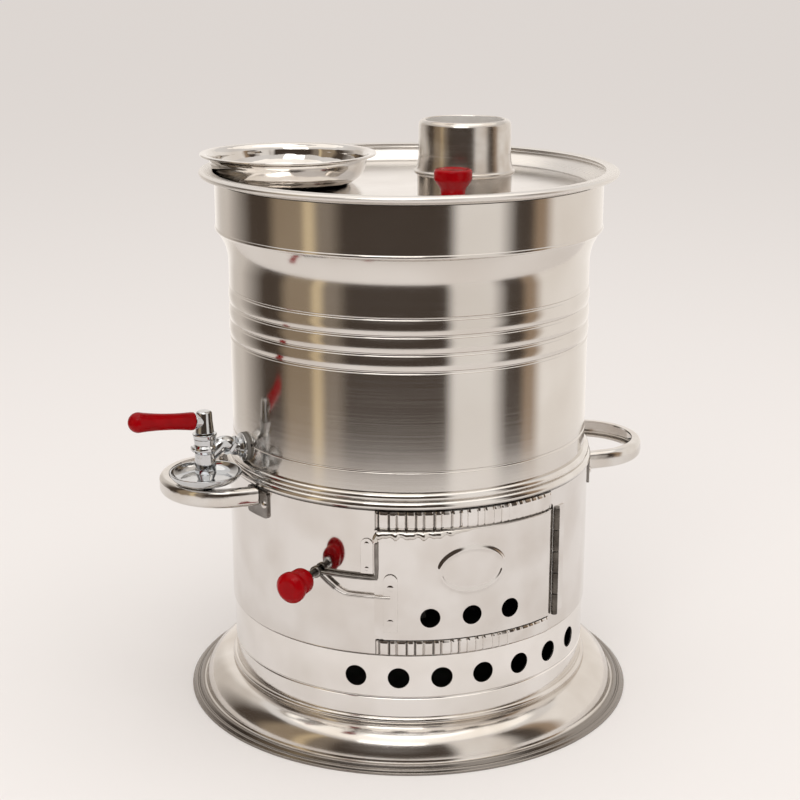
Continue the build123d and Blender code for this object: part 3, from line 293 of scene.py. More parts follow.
def new_material(name, kind="ShaderNodeBsdfPrincipled"):
    """Material with one shader joined to its output, and the object's own coordinates."""
    material = bpy.data.materials.new(name)
    material.use_nodes = True
    tree = material.node_tree
    tree.nodes.clear()
    shader = add_node(tree, kind)
    add_node(tree, "ShaderNodeOutputMaterial", {"Surface": shader})
    place = add_node(tree, "ShaderNodeTexCoord").outputs["Object"]
    return material, tree, shader, place


print("mid grey is", round(srgb("#808080")[0], 3), "in linear light")

# %% [markdown]
# ** Stainless sheet (grade 201 or 304), spun and belt-finished.** The belt leaves fine lines round the drum,
# so the steel is clear across the lines and blurred along the height: broad upright streaks of whatever
# stands round it. In nodes that is a high anisotropy turned by a quarter, a noise squeezed in height for the
# lines themselves, and a slow noise for the waves that thin sheet keeps. The real lines are about 0.05 mm
# apart, too fine to show, so they are drawn at about 0.6 mm. Soil and painted shade begin at a radius: soot
# inside the firebox and scale inside the tank are soil, the dark grey in the crimped strips' grooves is
# painted shade, and the foot's outer rim is made darker and duller. Below a height, painted shade darkens
# the seam's lower lobe.

# %% Steel
LINE_PITCH = 0.6
LINES_PER_METRE_ROUND = 6
STAIN = "#3B322B"
STAIN_DEPTH = 0.85


def steel(name, colour, tint, roughness, lines=0.0, wave=0.0, wave_size=30.0, anisotropy=0.0,
          soil=None, tarnish=None):
    """Steel finish: lines and wave are heights in millimetres, wave_size is the length of a wave.

    soil is (radius, reach, colour, dulling): it lies inside the radius, or outside it if the reach is
    negative; it carries real soil and, in the crimped strips, painted shade. tarnish is the pair of
    heights at which the steel is unshaded and at which the painted shade is full."""
    material, tree, shader, place = new_material(name)
    grain = add_node(tree, "ShaderNodeMapping", {
        "Vector": place, "Scale": (LINES_PER_METRE_ROUND, LINES_PER_METRE_ROUND, 1 / (LINE_PITCH * MM))})
    streak = add_node(tree, "ShaderNodeTexNoise", {
        "Vector": grain, "Scale": 1.0, "Detail": 3.0, "Roughness": 0.6})
    sheet = add_node(tree, "ShaderNodeTexNoise", {
        "Vector": place, "Scale": 1 / (wave_size * MM), "Detail": 2.0, "Roughness": 0.45})
    tone = add_node(tree, "ShaderNodeMapRange", {
        "Value": sheet, "From Min": 0.35, "From Max": 0.7, "To Min": 0.0, "To Max": 1.0})
    surface = add_node(tree, "ShaderNodeMix", {"Factor": tone, "A": srgb(colour), "B": srgb(tint)},
                       data_type="RGBA")
    gloss = add_node(tree, "ShaderNodeMapRange", {
        "Value": streak, "From Min": 0.25, "From Max": 0.75,
        "To Min": roughness * 0.8, "To Max": roughness * 1.25})
    # Colour and dulling by radius: real soot and scale, and painted shade in the crimped strips' grooves.
    if soil:
        radius, reach, soil_colour, dulling = soil
        flat = add_node(tree, "ShaderNodeVectorMath", {0: place, 1: (1, 1, 0)}, operation="MULTIPLY")
        span = add_node(tree, "ShaderNodeVectorMath", {0: flat}, operation="LENGTH")
        dirt = add_node(tree, "ShaderNodeMapRange", {
            "Value": span, "From Min": (radius - reach) * MM, "From Max": radius * MM,
            "To Min": 1.0, "To Max": 0.0})
        surface = add_node(tree, "ShaderNodeMix", {"Factor": dirt, "A": surface, "B": srgb(soil_colour)},
                           data_type="RGBA")
        gloss = add_node(tree, "ShaderNodeMath", {0: dirt, 1: dulling, 2: gloss}, operation="MULTIPLY_ADD")
    # Painted shade below a height: it darkens the seam's lower lobe.
    if tarnish:
        clean, stained = tarnish
        height = add_node(tree, "ShaderNodeSeparateXYZ", {"Vector": place}).outputs["Z"]
        stain = add_node(tree, "ShaderNodeMapRange", {
            "Value": height, "From Min": stained * MM, "From Max": clean * MM,
            "To Min": STAIN_DEPTH, "To Max": 0.0})
        surface = add_node(tree, "ShaderNodeMix", {"Factor": stain, "A": surface, "B": srgb(STAIN)},
                           data_type="RGBA")
    tangent = add_node(tree, "ShaderNodeTangent", direction_type="RADIAL", axis="Z")
    swell = add_node(tree, "ShaderNodeBump", {"Height": sheet, "Strength": 1.0, "Distance": wave * MM})
    brush = add_node(tree, "ShaderNodeBump", {
        "Height": streak, "Strength": 1.0, "Distance": lines * MM, "Normal": swell})
    set_inputs(tree, shader, {
        "Base Color": surface, "Metallic": 1.0, "Roughness": gloss, "Anisotropic": anisotropy,
        "Anisotropic Rotation": 0.25, "Tangent": tangent, "Normal": brush})
    return material


print("brushed lines are drawn", LINE_PITCH, "mm apart")

# %% [markdown]
# Each drum gets its own finish, because each was made another way. The tank is belt-finished, the firebox
# and vent ring are buffed nearly to a mirror, the foot is lathe-turned, and the dish is deep-drawn, with the
# broad waves that drawing leaves. The brackets and the arm's wire are duller mill steel, and the hinge is
# darker still: its dark tone is painted shade along the door's hinge edge.

# %% Steel finishes
SOOT = "#17130F"
WALL_MIDDLE = 0.55
packed_finishes = len(bpy.data.materials)

belt_steel = steel("belt_finished_stainless", "#DAD6D1", "#CEC8C1", 0.135, lines=0.0012, wave=0.10,
                   wave_size=60, anisotropy=0.6, soil=(TANK_R - TANK_SHEET * 0.6, 0.3, "#A9A29A", 0.3))
firebox_steel = steel("buffed_stainless_sooted_inside", "#DFDCD9", "#D3CEC9", 0.075, lines=0.001, wave=0.24,
                      wave_size=28, soil=(FIREBOX_R - SHEET * WALL_MIDDLE, 0.3, SOOT, 1.0))
vent_steel = steel("buffed_vent_stainless", "#ECE9E6", "#E0DCD7", 0.08, lines=0.001, wave=0.18,
                   soil=(VENT_R - SHEET * WALL_MIDDLE, 0.3, SOOT, 1.0))
foot_steel = steel("lathe_turned_stainless", "#DEDAD5", "#CDC6BE", 0.15, lines=0.0015, wave=0.22,
                   wave_size=34, anisotropy=0.55, soil=(FOOT_R - 8.6, -1.6, "#8F8983", 0.10))
# The dark grey #4B453F inside the flutes' grooves is painted shade, with a little dulling.
crimp_steel = steel("crimped_stainless_painted_groove_shade", "#DFDCD9", "#D3CEC9", 0.09, wave=0.25, wave_size=12,
                    soil=(FIREBOX_R + 1.2, 0.6, "#4B453F", 0.15))
# Its lower lobe is darkened with painted shade below a height.
seam_steel = steel("rolled_seam_painted_shade_below", "#E2DFDB", "#D6D1CB", 0.09, wave=0.12, wave_size=20,
                   tarnish=(seam_low.z + 2.4, seam_low.z + 1.2))
pressed_steel = steel("pressed_stainless", "#DAD7D3", "#CEC8C1", 0.09, wave=0.30, wave_size=16)
door_steel = steel("pressed_door_stainless", "#DEDBD8", "#D2CDC8", 0.08, wave=0.26, wave_size=22)
drawn_steel = steel("deep_drawn_stainless", "#DAD7D3", "#CEC8C1", 0.06, wave=0.9, wave_size=17)
lid_steel = steel("satin_lid_stainless", "#E6E3E0", "#DBD6D1", 0.14, lines=0.001, wave=0.12, wave_size=45,
                  soil=(TANK_R - 1.5, -1.5, "#DAD6D1", 0.14))
collar_steel = steel("buffed_collar_stainless", "#D2CEC9", "#BDB4AA", 0.2, lines=0.002, wave=0.16,
                     wave_size=14)
inner_steel = steel("heat_stained_sheet", "#5C534B", "#3A322B", 0.45, wave=0.3, wave_size=20)
wire_steel = steel("drawn_steel_wire", "#8D8984", "#6F6A65", 0.22, wave=0.02, wave_size=6)
# The hinge's dark tone is painted shade: it stands for the dark gap along the door's hinge edge.
hinge_steel = steel("hinge_steel_painted_shade", "#6A655F", "#46413C", 0.26, wave=0.1, wave_size=9)
dull_steel = steel("dull_bracket_steel", "#8E8A86", "#66615C", 0.24, wave=0.2, wave_size=9)
print("steel finishes made:", len(bpy.data.materials) - packed_finishes)

# %% [markdown]
# ** Chrome-plated zinc** on the tap is smoother and bluer than the sheet. **Red ABS** on the grips is moulded
# and glossy, with the faint ripple of a small hand-polished mould. The small hidden things are
# **silicone rubber**, **brass** and **cast iron**, and the chimney's inside is **pickled steel**. All of them
# are one noise that drives tone, gloss and bump, so one function makes them.

# %% Chrome, plastic, rubber, brass and iron
def small_finish(name, tones, gloss, grain, depth, detail=4.0, **looks):
    """Two tones, a range of roughness and a bump over one noise; grain and depth in millimetres."""
    material, tree, shader, place = new_material(name)
    noise = add_node(tree, "ShaderNodeTexNoise", {
        "Vector": place, "Scale": 1 / (grain * MM), "Detail": detail})
    tone = add_node(tree, "ShaderNodeMix", {"Factor": noise, "A": srgb(tones[0]), "B": srgb(tones[1])},
                    data_type="RGBA")
    rough = add_node(tree, "ShaderNodeMapRange", {"Value": noise, "To Min": gloss[0], "To Max": gloss[1]})
    bump = add_node(tree, "ShaderNodeBump", {"Height": noise, "Distance": depth * MM})
    set_inputs(tree, shader, {"Base Color": tone, "Roughness": rough, "Normal": bump})
    set_inputs(tree, shader, {key.replace("_", " "): value for key, value in looks.items()})
    return material


chrome = small_finish("chrome_plated_zinc", ("#D2D4D6", "#BFC0C1"), (0.04, 0.12), 5, 0.06, detail=2.0,
                      Metallic=1.0)
red_plastic = small_finish("red_abs", ("#9E0009", "#7C0005"), (0.1, 0.2), 7, 0.35, detail=2.0,
                           IOR=1.5, Specular_IOR_Level=0.12)
liner_grey = small_finish("pickled_steel_liner", ("#E2DFDB", "#C9C4BE"), (0.32, 0.48), 6, 0.05, Metallic=0.2)
rubber = small_finish("grey_silicone_rubber", ("#77746F", "#5E5B57"), (0.44, 0.66), 0.8, 0.03)
brass = small_finish("turned_brass", ("#C9A456", "#A9853F"), (0.24, 0.36), 1.5, 0.01, Metallic=1.0)
iron = small_finish("sand_cast_iron", ("#3A3734", "#241F1C"), (0.6, 0.9), 1.2, 0.25, Metallic=0.3)
print("finishes made in all:", len(bpy.data.materials) - packed_finishes)

# %% [markdown]
# `piece` turns a bmesh into a finished object: smooth shading that stops at real corners, its material, the
# imported nodes that it stands for, and the body that it rides on. Most pieces are polished and ride on the
# body called root, so root is the value that a call leaves out.

# %% Finished pieces
CREASE_ANGLE = 35


def piece(name, bm, material, *stands_for, body="root", slot="polished_steel", crease=CREASE_ANGLE, edge=0.0):
    """Finished object from a bmesh; edge is the width of a small bevel on its corners, in millimetres."""
    mesh = as_mesh(name, bm)
    mesh.shade_smooth()
    mesh.set_sharp_from_angle(angle=radians(crease))
    mesh.materials.append(material)
    made = in_scene(name, mesh)
    if edge:
        round_off = made.modifiers.new("edge", "BEVEL")
        round_off.width = edge * MM
        round_off.segments = 2
        round_off.limit_method = "ANGLE"
        round_off.angle_limit = radians(crease)
        round_off.harden_normals = True
    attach(made, body)
    if stands_for:
        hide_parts(*stands_for)
    print(name, "has", len(mesh.polygons), "faces and rides on", body)


print("edges sharper than", CREASE_ANGLE, "degrees stay sharp")

# %% [markdown]
# ## The foot
#
# The foot is one spun disc: a small roll under the vent ring, a long swelling skirt, then two low beads at
# the rim that stiffen it. A lathe is the real tool, so one spin makes it. The outline follows the outside
# and comes back along the inside one sheet lower.

# %% Foot
FOOT_TOP = foot_high.z
FOOT_ROLL = 2.0
ROLL_TUCK = 2.5
RIM_WIDTH = 9.0
RIM_UNDERSIDE = 1.05
RIM_STAND = 3.0
SKIRT_SHEET = 1.2
CREASE = (VENT_R + 1.9, FOOT_TOP - 3.3)
RIM_START = FOOT_R - RIM_WIDTH
CROWN = ((VENT_R + 4.0 + RIM_START) / 2 + 1.5, FOOT_TOP - 7.0)
RIM_EDGE = FOOT_R - 0.02
RIM_FOLD = (RIM_START - 0.6, 2.5)

foot_line = at((VENT_R, FOOT_TOP - ROLL_TUCK), (VENT_R, FOOT_TOP))
foot_line += arc(VENT_R + 0.3, FOOT_TOP - FOOT_ROLL, FOOT_ROLL, 90, -35, 12)[1:]
foot_line += through(CREASE, CROWN, (RIM_START, 4.2), 32)
foot_line += at((RIM_START + 0.5, 3.5))
foot_line += arc(RIM_START + 2.9, 2.5, 1.5, 150, 20, 7)
foot_line += at((RIM_START + 4.9, 2.1))
foot_line += arc(RIM_START + 6.6, 1.3, 1.3, 150, 0, 7)
foot_line += at((RIM_START + 8.2, 1.0), (RIM_EDGE, 0.8), (RIM_EDGE, 0), (FOOT_R - RIM_STAND, 0),
                (FOOT_R - RIM_STAND, RIM_UNDERSIDE), RIM_FOLD)
foot_line += through(RIM_FOLD, (CROWN[0] - 0.8, CROWN[1] - SKIRT_SHEET),
                     (CREASE[0] - 0.6, CREASE[1] - SKIRT_SHEET), 16)[1:]
piece("foot", spun(foot_line), foot_steel, "base_flange", edge=0.12)

# %% [markdown]
# ## Vent ring and firebox
#
# The vent ring is a plain band with two score lines rolled into it and seven air holes in front and behind.
# The firebox drum stands on it. Both could be cylinders with a wall from Solidify, but as spun outlines they
# share `ring_wall` and keep their score lines. They are then punched: the firebox loses the door's opening.

# %% Vent ring
SCORE_Z = 34.0
STEP_Z = firebox_low.z - 0.4
SCORE_HALF = 0.9
SCORE_DEPTH = 0.6
HOLE_R = 6.3
HOLE_Z = 46.5
HOLE_COUNT = 7
HOLE_PITCH = 13.1
HOLE_ROW = 4.3
PUNCH_DEPTH = 8.0
DRUM_STEPS = 360


def score(outer, z, steps):
    """Outline of a line rolled into a wall at a height."""
    return through((outer, z - SCORE_HALF), (outer - SCORE_DEPTH, z), (outer, z + SCORE_HALF), steps)


def ring_wall(outer, low, high, marks=()):
    """Outline of a drum's wall, with a score line at each of the given heights."""
    scores = [point for z in marks for point in score(outer, z, 6)]
    return at((outer, low)) + scores + at((outer, high), (outer - SHEET, high), (outer - SHEET, low))


vent_places = [(VENT_R, HOLE_ROW + side + (k - (HOLE_COUNT - 1) / 2) * HOLE_PITCH, HOLE_Z)
               for side in (0, 180) for k in range(HOLE_COUNT)]
vent_wall = spun(ring_wall(VENT_R, vent_low.z, vent_high.z, (SCORE_Z, STEP_Z)), steps=DRUM_STEPS)
vent_band = punched(vent_wall, punch_pins(HOLE_R, PUNCH_DEPTH, vent_places))
piece("vent_band", vent_band, vent_steel, "vent_ring", edge=0.2)

# %% Firebox drum
door_low, door_high = size_of("door_panel")
DOOR_HALF = 28.9
LAP = 5.0
DOOR_LAP = degrees(LAP / FIREBOX_R)
DOOR_GAP = 0.35
DOOR_R = FIREBOX_R + DOOR_GAP + SHEET
DOOR_BOTTOM = door_low.z
DOOR_TOP = door_high.z
CUTTER_HALF = 6

window = spun([(FIREBOX_R + side * CUTTER_HALF, z) for side, z in
               ((-1, DOOR_BOTTOM + LAP), (1, DOOR_BOTTOM + LAP), (1, DOOR_TOP - LAP), (-1, DOOR_TOP - LAP))],
              angle=2 * (DOOR_HALF - DOOR_LAP), steps=60)
bmesh.ops.holes_fill(window, edges=window.edges)
moved(window, Matrix.Rotation(radians(DOOR_LAP - DOOR_HALF - 90), 4, "Z"))
firebox_wall = spun(ring_wall(FIREBOX_R, firebox_low.z, firebox_high.z), steps=DRUM_STEPS)
piece("firebox_drum", punched(firebox_wall, facing_out(window)), firebox_steel, "firebox_shell", edge=0.15)

# %% [markdown]
# ## Seam and water tank
#
# A rolled bead joins the two drums: a full lobe below, a flatter one above. The tank has a score line just
# above it, four rolled grooves with the metal swelling between them, and a cove that opens to the upper band.
# All of this is one outline, so the whole tank is a single spin, as on the real spinning lathe.

# %% Seam bead
SEAM_Z = seam_low.z
SEAM_TOP = seam_high.z
SEAM_SPLIT = SEAM_Z + 5.6
SEAM_NECK = (FIREBOX_R - 0.8, SEAM_SPLIT)

seam_line = at((FIREBOX_R - 0.6, SEAM_Z))
seam_line += through((FIREBOX_R - 0.6, SEAM_Z), (FIREBOX_R + 1.8, SEAM_Z + 2.8), SEAM_NECK, 14)[1:]
seam_line += through(SEAM_NECK, (FIREBOX_R + 0.5, (SEAM_SPLIT + SEAM_TOP) / 2),
                     (TANK_R + 1.0, SEAM_TOP), 14)[1:]
seam_line += at((TANK_R, SEAM_TOP), (TANK_R, SEAM_Z))
piece("rolled_seam", spun(seam_line), seam_steel, "seam_bead", slot="satin_steel")

# %% Water tank
TANK_BOTTOM = tank_low.z
TANK_TOP = tank_high.z
TANK_SCORE = 169.8
GROOVE_Z = 226.7
GROOVE_PITCH = 10.0
GROOVE_COUNT = 4
GROOVE_HALF = 1.1
GROOVE_DEPTH = 0.7
SWELL = 0.6
COVE_Z = 271.0
COVE_R = 31.8
COVE_ANGLE = 37.6
COVE_STEPS = 8
BAND_ROLL = 0.5


def cove_point(radius, angle):
    """Point on the cove's arc, whose centre lies outside the tank."""
    return (TANK_R + COVE_R - radius * cos(radians(angle)), COVE_Z + radius * sin(radians(angle)))


tank_line = at((TANK_R, TANK_BOTTOM)) + score(TANK_R, TANK_SCORE, 8)
for k in range(GROOVE_COUNT):
    z = GROOVE_Z + k * GROOVE_PITCH
    if k:
        tank_line += through((TANK_R, z - GROOVE_PITCH + GROOVE_HALF), (TANK_R + SWELL, z - GROOVE_PITCH / 2),
                             (TANK_R, z - GROOVE_HALF), 10)[1:-1]
    tank_line += through((TANK_R, z - GROOVE_HALF), (TANK_R - GROOVE_DEPTH, z), (TANK_R, z + GROOVE_HALF), 8)
tank_line += through((TANK_R, COVE_Z), cove_point(COVE_R, COVE_ANGLE / 2), cove_point(COVE_R, COVE_ANGLE), 20)
cove_end = cove_point(COVE_R, COVE_ANGLE)
band_start = cove_end[1] + 2.4
tank_line += through(cove_end, (BAND_R + BAND_ROLL, cove_end[1] + 1.2), (BAND_R, band_start), 6)[1:]
tank_line += at((BAND_R, TANK_TOP), (BAND_R - TANK_SHEET, TANK_TOP),
                (BAND_R - TANK_SHEET, band_start + TANK_SHEET))
tank_line += at(*[cove_point(COVE_R + TANK_SHEET, COVE_ANGLE * (1 - k / COVE_STEPS))
                  for k in range(COVE_STEPS + 1)])
tank_line += at((TANK_R - TANK_SHEET, TANK_BOTTOM))
piece("tank_drum", spun(tank_line, steps=DRUM_STEPS), belt_steel, "tank_shell", slot="satin_steel")

# %% [markdown]
# ## Lid, flue and chimney collar
#
# The lid is a shallow tray: a flat plate, a sloping wall that drops inside the band, and a flange whose edge
# is rolled over. The plate is punched for the flue, for the steam hole under the dish and for the knob's
# screw. The collar is a socket over the flue: a bead, a shoulder, a rolled-in lip, and a grey lining that
# shows inside the lip.

# %% Lid
LID_PLATE = 315.0
RIM_ROLL = 1.65
FLUE = (17.4, -46.2)
DISH = (-66.8, 26.0)
KNOB = (-3.4, -83.5)
FLUE_GAP = 0.5
STEAM_HOLE_R = 24.0
SCREW_HOLE_R = 2.0
LID_PUNCH = 10
flue_low, flue_high = size_of("flue_tube")
FLUE_R = (flue_high.x - flue_low.x) / 2
LID_WALL = BAND_R - TANK_SHEET - FLUE_GAP
LID_TOP = lid_high.z
LID_EDGE_Z = LID_TOP - RIM_ROLL

lid_line = soft_line((0, LID_PLATE, 0), (LID_WALL - 5.6, LID_PLATE, 6.0),
                     (LID_WALL + 1.2, TANK_TOP + SHEET + 0.4, 6.0), (LID_R - 2.6, LID_TOP, 1.4))
lid_line += soft_line((LID_R - 2.2, LID_TOP, 0), (LID_R - 0.3, LID_EDGE_Z + 0.6, 0.5),
                      (LID_R, LID_EDGE_Z - 0.2, 0.3), (LID_R - 0.6, LID_EDGE_Z - RIM_ROLL, 0.4),
                      (LID_R - 2.6, LID_EDGE_Z - RIM_ROLL + 0.4, 0.5))
lid_line += soft_line((LID_R - 3.6, LID_EDGE_Z - 0.4, 0), (LID_WALL + 1.8, TANK_TOP + 0.3, 5.0),
                      (LID_WALL - 0.4, TANK_TOP - 0.6, 1.0), (LID_WALL - 6.1, LID_PLATE - SHEET, 4.0),
                      (0, LID_PLATE - SHEET, 0))
lid_punches = bmesh.new()
for (x, y), radius in ((FLUE, FLUE_R + FLUE_GAP), (DISH, STEAM_HOLE_R), (KNOB, SCREW_HOLE_R)):
    add_pin(lid_punches, radius, LID_PUNCH, Matrix.Translation(Vector((x, y, LID_PLATE)) * MM), 96)
piece("lid_tray", punched(spun(lid_line, steps=DRUM_STEPS), lid_punches), lid_steel, "lid", body="lid")

# %% Flue and chimney collar
FLUE_SHEET = 1.2
SOCKET_R = FLUE_R + 0.3
COLLAR_R = FLUE_R + 1.7
BEAD_Z = LID_PLATE + 13.0
COLLAR_TOP = size_of("chimney_collar")[1].z
COLLAR_ROLL = 3.2
UPPER_R = COLLAR_R - 0.5
LIP_R = UPPER_R - COLLAR_ROLL
LINER_R = LIP_R - 0.85
LINER_LOW = flue_high.z + 1

flue_line = [(FLUE_R, flue_low.z), (FLUE_R, flue_high.z), (FLUE_R - FLUE_SHEET, flue_high.z),
             (FLUE_R - FLUE_SHEET, flue_low.z)]
piece("flue_pipe", spun(flue_line, steps=96, centre=FLUE), inner_steel, "flue_tube", slot="inner_steel",
      edge=0.2)

collar_line = at((SOCKET_R, LID_PLATE), (COLLAR_R, LID_PLATE), (COLLAR_R + 0.3, BEAD_Z - 2.6))
collar_line += through((COLLAR_R + 0.5, BEAD_Z - 1.6), (COLLAR_R + 2.0, BEAD_Z),
                       (COLLAR_R + 1.0, BEAD_Z + 1.2), 10)
collar_line += through((COLLAR_R + 0.8, BEAD_Z + 1.6), (COLLAR_R, BEAD_Z + 5.0), (UPPER_R, BEAD_Z + 10.0), 8)
collar_line += arc(LIP_R, COLLAR_TOP - COLLAR_ROLL, COLLAR_ROLL, 0, 90, 12)
collar_line += through((LIP_R, COLLAR_TOP), (LIP_R - 0.8, COLLAR_TOP - 0.8), (LIP_R, COLLAR_TOP - 1.6), 8)[1:]
collar_line += at((SOCKET_R, COLLAR_TOP - COLLAR_ROLL - 1.6))
piece("chimney_socket", spun(collar_line, steps=192, centre=FLUE), collar_steel, "chimney_collar",
      body="chimney")

liner_line = soft_line((LINER_R + 0.4, LINER_LOW, 0), (LINER_R + 0.4, COLLAR_TOP - 0.8, 0),
                       (LINER_R, COLLAR_TOP - 0.6, 0), (LINER_R, LINER_LOW, 0))
piece("chimney_liner", spun(liner_line, steps=128, centre=FLUE), liner_grey, body="chimney")

# %% [markdown]
# ## Dish and lid knob
#
# The dish is deep-drawn: a flat foot, a round shoulder, and a flared lip with a hemmed edge. Its outline goes
# down the outside and back up the inside, one sheet apart. The knob is moulded, with a waist for the fingers
# and a shallow hollow on top.

# %% Dish
dish_low, dish_high = size_of("dish")
DISH_R = (dish_high.x - dish_low.x) / 2
DISH_FOOT_R = 34.0
DISH_BOWL_R = 46.6
DISH_SHEET = 0.9
DISH_RIM = LID_PLATE + 17.6

dish_line = at((0, LID_PLATE))
dish_line += through((DISH_FOOT_R, LID_PLATE), (DISH_FOOT_R + 9.2, LID_PLATE + 5.4),
                     (DISH_BOWL_R, DISH_RIM - 3.4), 20)
dish_line += through((DISH_BOWL_R + 0.3, DISH_RIM - 2.9), (DISH_BOWL_R + 2.4, DISH_RIM - 0.9),
                     (DISH_R - 1.1, DISH_RIM - 0.5), 10)
dish_line += arc(DISH_R - 0.7, DISH_RIM, 0.7, -120, 90, 10)
dish_line += through((DISH_R - 1.2, DISH_RIM + 0.55), (DISH_BOWL_R + 1.8, DISH_RIM + 0.2),
                     (DISH_BOWL_R - 0.7, DISH_RIM - 2.6), 10)
dish_line += through((DISH_BOWL_R - DISH_SHEET, DISH_RIM - 3.2), (DISH_FOOT_R + 8.4, LID_PLATE + 6.0),
                     (DISH_FOOT_R - 0.6, LID_PLATE + DISH_SHEET), 20)
dish_line += at((0, LID_PLATE + DISH_SHEET))
piece("steam_dish", spun(dish_line, steps=192, centre=DISH), drawn_steel, "dish", body="dish")

# %% Lid knob
KNOB_R = 10.5
KNOB_FOOT = 6.7
KNOB_Z = LID_PLATE + 19.5

knob_line = soft_line((0, LID_PLATE, 0), (KNOB_FOOT, LID_PLATE, 0.5), (KNOB_FOOT, LID_PLATE + 8.0, 6.0),
                      (KNOB_R, LID_PLATE + 13.5, 2.6), (KNOB_R, KNOB_Z - 0.2, 1.6),
                      (KNOB_R - 3.0, KNOB_Z - 0.1, 0.6), (KNOB_R - 4.4, KNOB_Z - 0.9, 0.8),
                      (0, KNOB_Z - 0.6, 0))
piece("lid_button", spun(knob_line, steps=96, centre=KNOB), red_plastic, "lid_knob", body="lid",
      slot="red_plastic")

# %% [markdown]
# ## Loop handles
#
# Each handle is a strip of steel bent to a channel and then to a loop. The channel's section is drawn once,
# pushed out along the first leg, spun half a turn, and pushed back along the second leg. `picked` sorts what
# an operator hands back, because each push moves only the new corners.

# %% Handles
HANDLE_Z = 142.5
HANDLE_SPREAD = 36.0
HANDLE_REACH = 152.6
LEG_ROOT = 105.3
CHANNEL_H = 11.0
CHANNEL_D = 5.8
CHANNEL_WALL = 1.3
CHANNEL_CORNER = 3.2
WELD_IN_MM = 1e-5


def picked(geometry, kind):
    """The corners, edges or faces of an operator's result."""
    return [item for item in geometry if isinstance(item, kind)]


def channel_section():
    """C section: x is the depth from the open side, y the height."""
    half, deep, bend = CHANNEL_H / 2, CHANNEL_D / 2, CHANNEL_CORNER
    inner, wall = bend - CHANNEL_WALL, CHANNEL_WALL
    outside = soft_line((-deep, half, 0), (deep, half, bend), (deep, -half, bend), (-deep, -half, 0))
    inside = soft_line((-deep, wall - half, 0), (deep - wall, wall - half, inner),
                       (deep - wall, half - wall, inner), (-deep, half - wall, 0))
    return outside + inside


def pushed(bm, edges, along):
    """The new edges of a section that is pushed along X."""
    step = bmesh.ops.extrude_edge_only(bm, edges=edges)["geom"]
    bmesh.ops.translate(bm, vec=(along, 0, 0), verts=picked(step, BMVert))
    return picked(step, BMEdge)


def loop_handle(side):
    """One loop handle; side is 1 for +X and -1 for -X."""
    bm = bmesh.new()
    turn_x = HANDLE_REACH - HANDLE_SPREAD
    ring = [bm.verts.new((LEG_ROOT, -HANDLE_SPREAD - p.x, HANDLE_Z + p.y)) for p in channel_section()]
    edges = pushed(bm, bm.faces.new(ring).edges[:], turn_x - LEG_ROOT)
    bend = bmesh.ops.spin(bm, geom=edges, cent=(turn_x, 0, 0), axis=(0, 0, 1), angle=pi, steps=64)
    edges = pushed(bm, picked(bend["geom_last"], BMEdge), LEG_ROOT - turn_x)
    bmesh.ops.contextual_create(bm, geom=edges)
    bmesh.ops.remove_doubles(bm, verts=bm.verts, dist=WELD_IN_MM)
    bmesh.ops.scale(bm, vec=(side * MM, MM, MM), verts=bm.verts)
    return facing_out(bm)


for side, word in ((1, "right"), (-1, "left")):
    piece(f"{word}_loop", loop_handle(side), pressed_steel, f"{word}_handle", edge=0.2)

# %% [markdown]
# ## Pieces that follow the drum
#
# The door, its strips, the brackets and the catch are flat blanks rolled to the drum's curve. They are made
# the same way: modelled flat in millimetres, with x along the wall, y up and z out of it, and then rolled by
# `rolled`, which turns x into a bearing. The four brackets of the handles come first.

# %% Handle brackets
def everything(bm):
    return bm.verts[:] + bm.edges[:] + bm.faces[:]


def blank(outline, thickness, strips=16):
    """Flat plate from an outline, cut into narrow strips so that it can be rolled."""
    bm = bmesh.new()
    bm.faces.new([bm.verts.new((x, y, 0)) for x, y in outline])
    start, end = min(p[0] for p in outline), max(p[0] for p in outline)
    for k in range(1, strips):
        bmesh.ops.bisect_plane(bm, geom=everything(bm), plane_co=(start + (end - start) * k / strips, 0, 0),
                               plane_no=(1, 0, 0))
    raised = bmesh.ops.extrude_face_region(bm, geom=bm.faces[:])["geom"]
    bmesh.ops.translate(bm, vec=(0, 0, thickness), verts=picked(raised, BMVert))
    return facing_out(bm)


def rounded_blank(width, height, corner):
    """Outline of a rectangle with round corners, centred."""
    x, y = width / 2, height / 2
    return soft_line((-x, -y, corner), (x, -y, corner), (x, y, corner), (-x, y, corner))


def rolled(bm, reach, bearing, z):
    """Roll a flat piece on to the drum; reach is the radius of its z = 0 face."""
    for v in bm.verts:
        x, y, out = v.co
        v.co = polar(reach + out, bearing + degrees(x / reach), z + y)
    return bm


PLATE_T = 1.5
PLATE_LOW = 131.0
PLATE_H = 16.4
PLATE_HALF = 5.2
PLATE_CORNER = 2.0
PLATE_W = 2 * radians(PLATE_HALF) * (FIREBOX_R + PLATE_T)
plate_bearing = 90 - degrees(asin(HANDLE_SPREAD / (FIREBOX_R + PLATE_T)))
brackets = joined(*[rolled(blank(rounded_blank(PLATE_W, PLATE_H, PLATE_CORNER), PLATE_T), FIREBOX_R,
                           side * bearing, PLATE_LOW + PLATE_H / 2)
                    for side in (-1, 1) for bearing in (plate_bearing, 180 - plate_bearing)])
piece("handle_brackets", brackets, dull_steel, "handle_plates", edge=0.35)

# %% [markdown]
# ## Fire door
#
# The door is a pressed and rolled panel, and the lower corner by the knob is cut off. Its relief could be
# sculpted, but a formula keeps it even: a plain oval rib in the middle, and a small dimple where each air
# hole was punched. `pressed_sheet` moves a fine grid by that formula and puts the back one sheet behind.

# %% Pressed sheet
def ridge(distance, half_width, height):
    """Height of a soft pressed ridge at a distance from its crest."""
    return height * (0.5 + 0.5 * cos(pi * min(abs(distance) / half_width, 1)))


